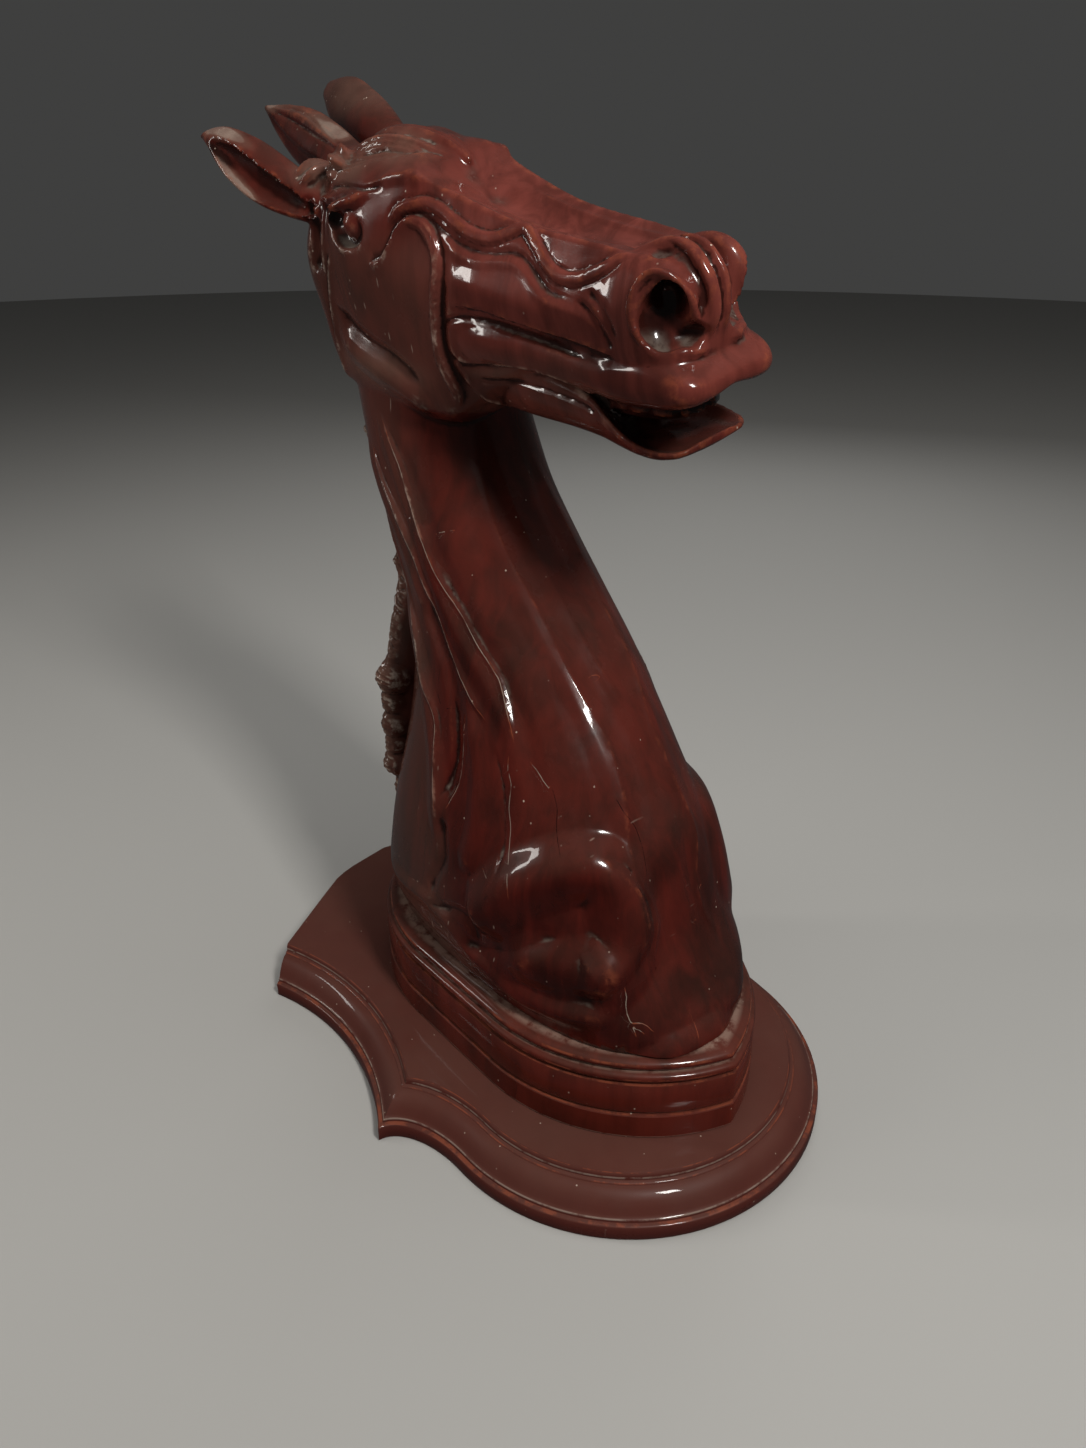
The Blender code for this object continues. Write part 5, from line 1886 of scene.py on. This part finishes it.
class LacquerRecipe(Recipe):
    """The recipe of a lacquer's material."""

    def __init__(self, finish: Lacquer) -> None:
        """Start the material.

        Args:
            finish: the lacquer.
        """
        super().__init__(finish.name)
        self.finish = finish

    def line_mask(self, lines: Points) -> Socket:
        """Where a surface lies on one of the given levels.

        Args:
            lines: the levels, each with its half width.

        Returns:
            1 on a level, 0 away from all.
        """
        height = self.upright(self.place)
        mask: Socket | float = 0.0
        for level, reach in lines:
            gap = self.sum(Sum.SIZE, self.sum(Sum.TAKE, height, level))
            mask = self.most(mask, self.span(gap, reach, 0.35 * reach))
        return mask

    def lay_haze(self, colour: Socket, patchy: Socket) -> Socket:
        """Redden what hands have rubbed, which also paints light on the head, and lay haze and dust over
        the carving.

        Args:
            colour: the wood's colour.
            patchy: how much of the rubbed colour, partly painted light, shows.

        Returns:
            The colour with both.
        """
        finish = self.finish
        dusty = self.mark("dusty")
        # partly painted light: the head is painted redder and brighter where it counts as rubbed
        colour = self.mix(self.times(self.mark("rubbed_and_lit"), patchy), colour, finish.rubbed_and_lit)
        haze = self.times(dusty, self.span(self.noise(30.0, 4.0), 0.3, 0.65, 0.5, 1.0), 0.75)
        settling = self.mix(self.span(dusty, 0.76, 1.0, 0.0, 0.7), finish.haze, finish.dust)
        colour = self.mix(haze, colour, settling)
        return self.mix(self.times(self.mark("pale"), 0.36), colour, finish.film)

    def film_cover(self) -> Socket:
        """How thickly a film of dust lies on what faces up.

        Returns:
            The film's share.
        """
        patches = self.span(self.noise(7.0, 5.0, 0.6), 0.30, 0.70, 0.62, 1.0)
        film = self.times(self.span(self.upward(), -0.05, 0.95, 0.0, self.finish.film_share), patches)
        return self.times(film, self.rest(self.mark("rubbed_and_lit"))) if self.finish.carved else film

    def wear_carving(self, colour: Socket) -> tuple[Socket, Socket]:
        """Paint shade into the carving's hollows and shade places, bare its crests, which on the paler
        neck back also paint highlights, and let dust settle in its lines.

        Args:
            colour: the colour so far.

        Returns:
            The worn colour and where dust has settled.
        """
        finish = self.finish
        fine, painted_shade, pale = (self.mark(name) for name in ("fine", "painted_shade", "pale"))
        # painted shade: broad and fine hollows and the painted shade places go towards near black
        hollow = self.most(self.times(self.span(self.mark("broad"), 0.60, 0.90), 0.75),
                           self.times(self.span(fine, 0.60, 0.85), 0.8), painted_shade)
        colour = self.mix(hollow, colour, finish.hollow)
        break_up = self.noise(60.0, 5.0, 0.7)
        # crests bared to worn wood; on the paler neck back they turn pale, partly as painted highlights
        # along the crests
        crest = self.times(self.span(fine, 0.38, 0.10), self.span(break_up, 0.44, 0.66),
                           self.span(pale, 0.0, 1.0, 0.42, 0.78))
        settled = self.times(self.span(fine, 0.60, 0.90), self.span(break_up, 0.36, 0.60),
                             self.span(self.upward(), 0.15, 0.75), self.rest(painted_shade),
                             self.rest(self.times(self.mark("rubbed_and_lit"), 0.75)))
        colour = self.mix(crest, colour, self.mix(pale, finish.worn, finish.dust))
        return self.mix(self.times(settled, finish.dust_share), colour, finish.dust), settled

    def wear_mouldings(self, colour: Socket) -> tuple[Socket, Socket]:
        """Bare the mouldings' arrises and let dust settle in their quirks.

        Args:
            colour: the colour so far.

        Returns:
            The worn colour and where dust has settled.
        """
        finish = self.finish
        crest = self.times(self.line_mask(finish.worn_lines),
                           self.span(self.noise(38.0, 5.0, 0.7), 0.44, 0.58), 0.5)
        settled = self.times(self.line_mask(finish.dust_lines),
                             self.span(self.noise(60.0, 5.0, 0.7), 0.34, 0.56))
        colour = self.mix(crest, colour, finish.worn)
        return self.mix(self.times(settled, finish.dust_share), colour, finish.dust), settled

    def draw_cracks_and_highlights(self, colour: Socket) -> Socket:
        """Lay the cracks and the painted highlights along the neck's crests over a colour, pale or dark by
        their tone.

        Args:
            colour: the colour so far.

        Returns:
            The cracked colour.
        """
        tone = self.mark("crack_and_highlight_tone")
        wobble = self.times(self.sum(Sum.TAKE, self.noise(55.0, 2.0), 0.5), 0.0018)
        side = self.sum(Sum.SIZE, self.sum(Sum.ADD, self.mark("crack_and_highlight_side"), wobble))
        line = self.times(self.span(side, 0.0006, 0.00025),
                          self.span(self.noise(45.0, 4.0), 0.36, 0.50, 0.15, 0.8))
        # pale filling of dusty cracks, and of the painted highlights along the crests
        filling = self.mix(self.span(tone, 0.6, 0.9), self.finish.worn, self.finish.dust)
        colour = self.mix(self.times(line, self.span(tone, 0.1, 0.5, 0.0, 0.75)), colour, filling)
        return self.mix(self.times(line, self.span(tone, -0.1, -0.5)), colour, self.finish.split)

    def specks(self) -> Socket:
        """Pale specks, each in its own cell.

        Returns:
            Where the specks lie.
        """
        spot, own = self.cells(self.finish.speck_scale, self.stretch((1.0, 1.0, 0.8)))
        return self.times(self.span(spot, 0.090, 0.050), self.span(own, 0.62, 0.64),
                          self.span(self.noise(9.0, 3.0), 0.42, 0.56, 0.3, 1.0))

    def scratches(self) -> Socket:
        """Hair-fine scratches in two directions.

        Returns:
            Where the scratches lie.
        """
        scratch: Socket | float = 0.0
        for turn, squash in (((0.3, 0.9, 0.2), (90.0, 90.0, 6.0)), ((1.1, 0.2, 0.8), (80.0, 6.0, 80.0))):
            line, _ = self.cells(1.0, self.stretch(squash, turn))
            clouds = self.noise(6.0, 2.0, 0.5, 0.0, self.stretch((1.0, 1.0, 1.0), turn))
            scratch = self.most(scratch, self.times(self.span(line, 0.10, 0.05),
                                                    self.span(clouds, 0.58, 0.66)))
        return scratch

    def set_gloss(self, settled: Socket, film: Socket) -> None:
        """Set the lacquer's shine, dulled by dust and handling.

        Args:
            settled: where dust has settled.
            film: how thickly a film of dust lies.
        """
        finish = self.finish
        dulled = finish.gloss + finish.gloss_fall
        rough = self.span(self.noise(14.0, 4.0, 0.6), 0.35, 0.7, finish.gloss, dulled)
        rough = self.sum(Sum.ADD, rough, self.times(settled, 0.4))
        rough = self.sum(Sum.ADD, rough, self.times(film, 0.35))
        self.feed(self.shader.inputs["Roughness"], rough)
        self.shader.inputs["Coat Weight"].default_value = finish.coat
        self.shader.inputs["Specular IOR Level"].default_value = finish.shine
        self.shader.inputs["Coat Roughness"].default_value = finish.coat_roughness
        self.shader.inputs["Coat IOR"].default_value = finish.coat_ior

    def write(self) -> bpy.types.Material:
        """Write the finish's nodes.

        Returns:
            The material.
        """
        finish = self.finish
        clouds = self.noise(5.5, 4.0, 0.55, 0.6)
        streaks = self.noise(9.0, 4.0, 0.6, 0.8, self.stretch((4.0, 4.0, 0.7)))
        grain = self.noise(26.0, 6.0, 0.65, 0.3, self.stretch((7.0, 7.0, 0.35)))
        colour = self.mix(self.span(self.blend(clouds, streaks, 0.6), 0.34, 0.66), finish.deep, finish.red)
        colour = self.mix(self.span(grain, 0.55, 0.8, 0.0, 0.35), colour, finish.deep)
        if finish.carved:
            patchy = self.span(self.blend(clouds, streaks, 0.5), 0.38, 0.62, 0.32, 0.74)
            colour = self.lay_haze(colour, patchy)
        film = self.film_cover()
        wear = self.wear_carving if finish.carved else self.wear_mouldings
        colour, settled = wear(self.mix(film, colour, finish.film))
        if finish.carved:
            colour = self.draw_cracks_and_highlights(colour)
        marks = self.most(self.specks(), self.times(self.scratches(), 0.5))
        colour = self.mix(self.times(marks, 0.7), colour, finish.speck)
        self.feed(self.shader.inputs["Base Color"], colour)
        self.set_gloss(settled, film)
        tool_marks = self.bump(self.noise(16.0, 2.0, 0.5, 0.4), 0.25, 0.004)
        normal = self.bump(grain, 0.10, 0.0006, tool_marks)
        normal = self.bump(self.most(marks, settled), 0.25, 0.0005, normal)
        self.feed(self.shader.inputs["Normal"], normal)
        return self.material


# Heights of the mouldings' worn arrises and dusty quirks, each with its half width
BOARD_WORN = ((0.0181, 0.0008), (0.0445, 0.0008), (0.0530, 0.0006))
BOARD_DUST = ((0.0212, 0.0010), (0.0480, 0.0016))
COLLAR_WORN = ((0.0848, 0.0007), (0.0888, 0.0007), (0.1259, 0.0008), (0.1335, 0.0014), (0.1480, 0.0016))
COLLAR_DUST = ((0.0552, 0.0014), (0.0866, 0.0010), (0.1278, 0.0010), (0.1396, 0.0009), (0.1530, 0.0016))
CARVING_LACQUER = Lacquer("carving_lacquer", (0.018, 0.0026, 0.0017), (0.078, 0.0080, 0.0050))
COLLAR_LACQUER = Lacquer("collar_lacquer", (0.026, 0.0044, 0.0028), (0.092, 0.012, 0.007), carved=False,
                         dust=(0.33, 0.23, 0.18), film_share=0.35, worn_lines=COLLAR_WORN,
                         dust_lines=COLLAR_DUST)
BOARD_LACQUER = Lacquer("board_lacquer", (0.06, 0.0125, 0.0095), (0.072, 0.015, 0.0112), carved=False,
                        film_share=0.45, gloss=0.27, coat=0.26, speck_scale=85.0, worn_lines=BOARD_WORN,
                        dust_lines=BOARD_DUST)


# Studio


@dataclass
class Studio:
    """Pale floor, soft lights and the camera."""

    eye: Place = (0.8226, -0.6834, 0.96)
    heading: tuple[float, float] = (-0.769, 0.639)
    pitch: float = math.radians(-27.3)
    lens: float = 27.03

    def floor(self) -> Item:
        """A wide plain floor.

        Returns:
            The floor's object.
        """
        bm = bmesh.new()
        bmesh.ops.create_circle(bm, cap_ends=True, segments=96, radius=9.0)
        bmesh.ops.translate(bm, verts=bm.verts[:], vec=(0, 0, -0.0006))
        floor = make_object("floor", bm)
        recipe = Recipe("floor_paint")
        recipe.shader.inputs["Base Color"].default_value = (0.34, 0.335, 0.32, 1.0)
        recipe.shader.inputs["Roughness"].default_value = 0.85
        floor.data.materials.append(recipe.material)
        floor.visible_glossy = False
        return floor

    @staticmethod
    def lamp(name: str, place: Place, aim: Place,
             size: tuple[float, float], power: float, colour: Colour = (1.0, 1.0, 1.0),
             seen: bool = True) -> None:
        """Add one soft rectangular light.

        Args:
            name: the light's name.
            place: where it hangs.
            aim: the point it faces.
            size: its width and height.
            power: its power in watts.
            colour: its colour.
            seen: whether the lacquer mirrors it.
        """
        data = bpy.data.lights.new(name, "AREA")
        data.shape = "RECTANGLE"
        data.size, data.size_y = size
        data.energy = power
        data.color = colour
        light = bpy.data.objects.new(name, data)
        light.location = place
        light.visible_glossy = seen
        light.rotation_euler = (Vector(aim) - Vector(place)).to_track_quat("-Z", "Y").to_euler()
        bpy.context.scene.collection.objects.link(light)

    def build(self) -> None:
        """Set up floor, lights, surroundings and camera."""
        self.floor()
        middle = (0.0, 0.0, 0.6)
        self.lamp("window", (2.0, -0.3, 2.6), middle, (0.40, 0.65), 72.0, (1.0, 0.97, 0.93))
        self.lamp("sky", (0.3, 0.2, 2.6), middle, (1.9, 1.9), 27.0, seen=False)
        self.lamp("rim", (-1.95, -1.9, 1.65), (0.0, 0.0, 0.7), (0.19, 1.10), 13.0, (1.0, 0.96, 0.91))
        self.lamp("side", (-1.0, -2.4, 1.3), middle, (1.3, 1.3), 16.0, (1.0, 0.96, 0.91), seen=False)
        self.lamp("back", (-1.6, 2.3, 1.9), middle, (1.4, 1.4), 16.0, seen=False)
        world = bpy.data.worlds.new("studio")
        world.use_nodes = True
        background = world.node_tree.nodes["Background"]
        background.inputs["Color"].default_value = (0.62, 0.62, 0.61, 1.0)
        background.inputs["Strength"].default_value = 0.08
        bpy.context.scene.world = world
        bpy.context.scene.view_settings.view_transform = "Standard"
        data = bpy.data.cameras.new("camera")
        data.lens = self.lens
        data.sensor_width = 36.0
        data.clip_start = 0.01
        camera = bpy.data.objects.new("camera", data)
        camera.location = self.eye
        level = math.cos(self.pitch)
        look = Vector((self.heading[0] * level, self.heading[1] * level, math.sin(self.pitch)))
        camera.rotation_euler = look.to_track_quat("-Z", "Y").to_euler()
        bpy.context.scene.collection.objects.link(camera)
        bpy.context.scene.camera = camera


def show(piece: Item, finish: Lacquer, node: str) -> None:
    """Dress a finished piece, put it on the body and let it stand for its solid.

    Args:
        piece: the piece.
        finish: its finish.
        node: the solid that it stands for.
    """
    piece.data.materials.clear()
    piece.data.materials.append(finish.build())
    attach(piece, BODY)
    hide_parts(node)
    LOG.info("%s: %d faces", piece.name, len(piece.data.polygons))


def main() -> None:
    logging.basicConfig(level=logging.INFO, format="%(message)s")
    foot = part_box("moulded_collar")[0].z
    carving_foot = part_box("carved_horse_head")[0].z
    show(BaseBoard().build(), BOARD_LACQUER, "base_board")
    show(Collar(foot=foot).build(), COLLAR_LACQUER, "moulded_collar")
    show(Carving(foot=carving_foot).build(), CARVING_LACQUER, "carved_horse_head")
    Studio().build()


if __name__ == "__main__":
    main()
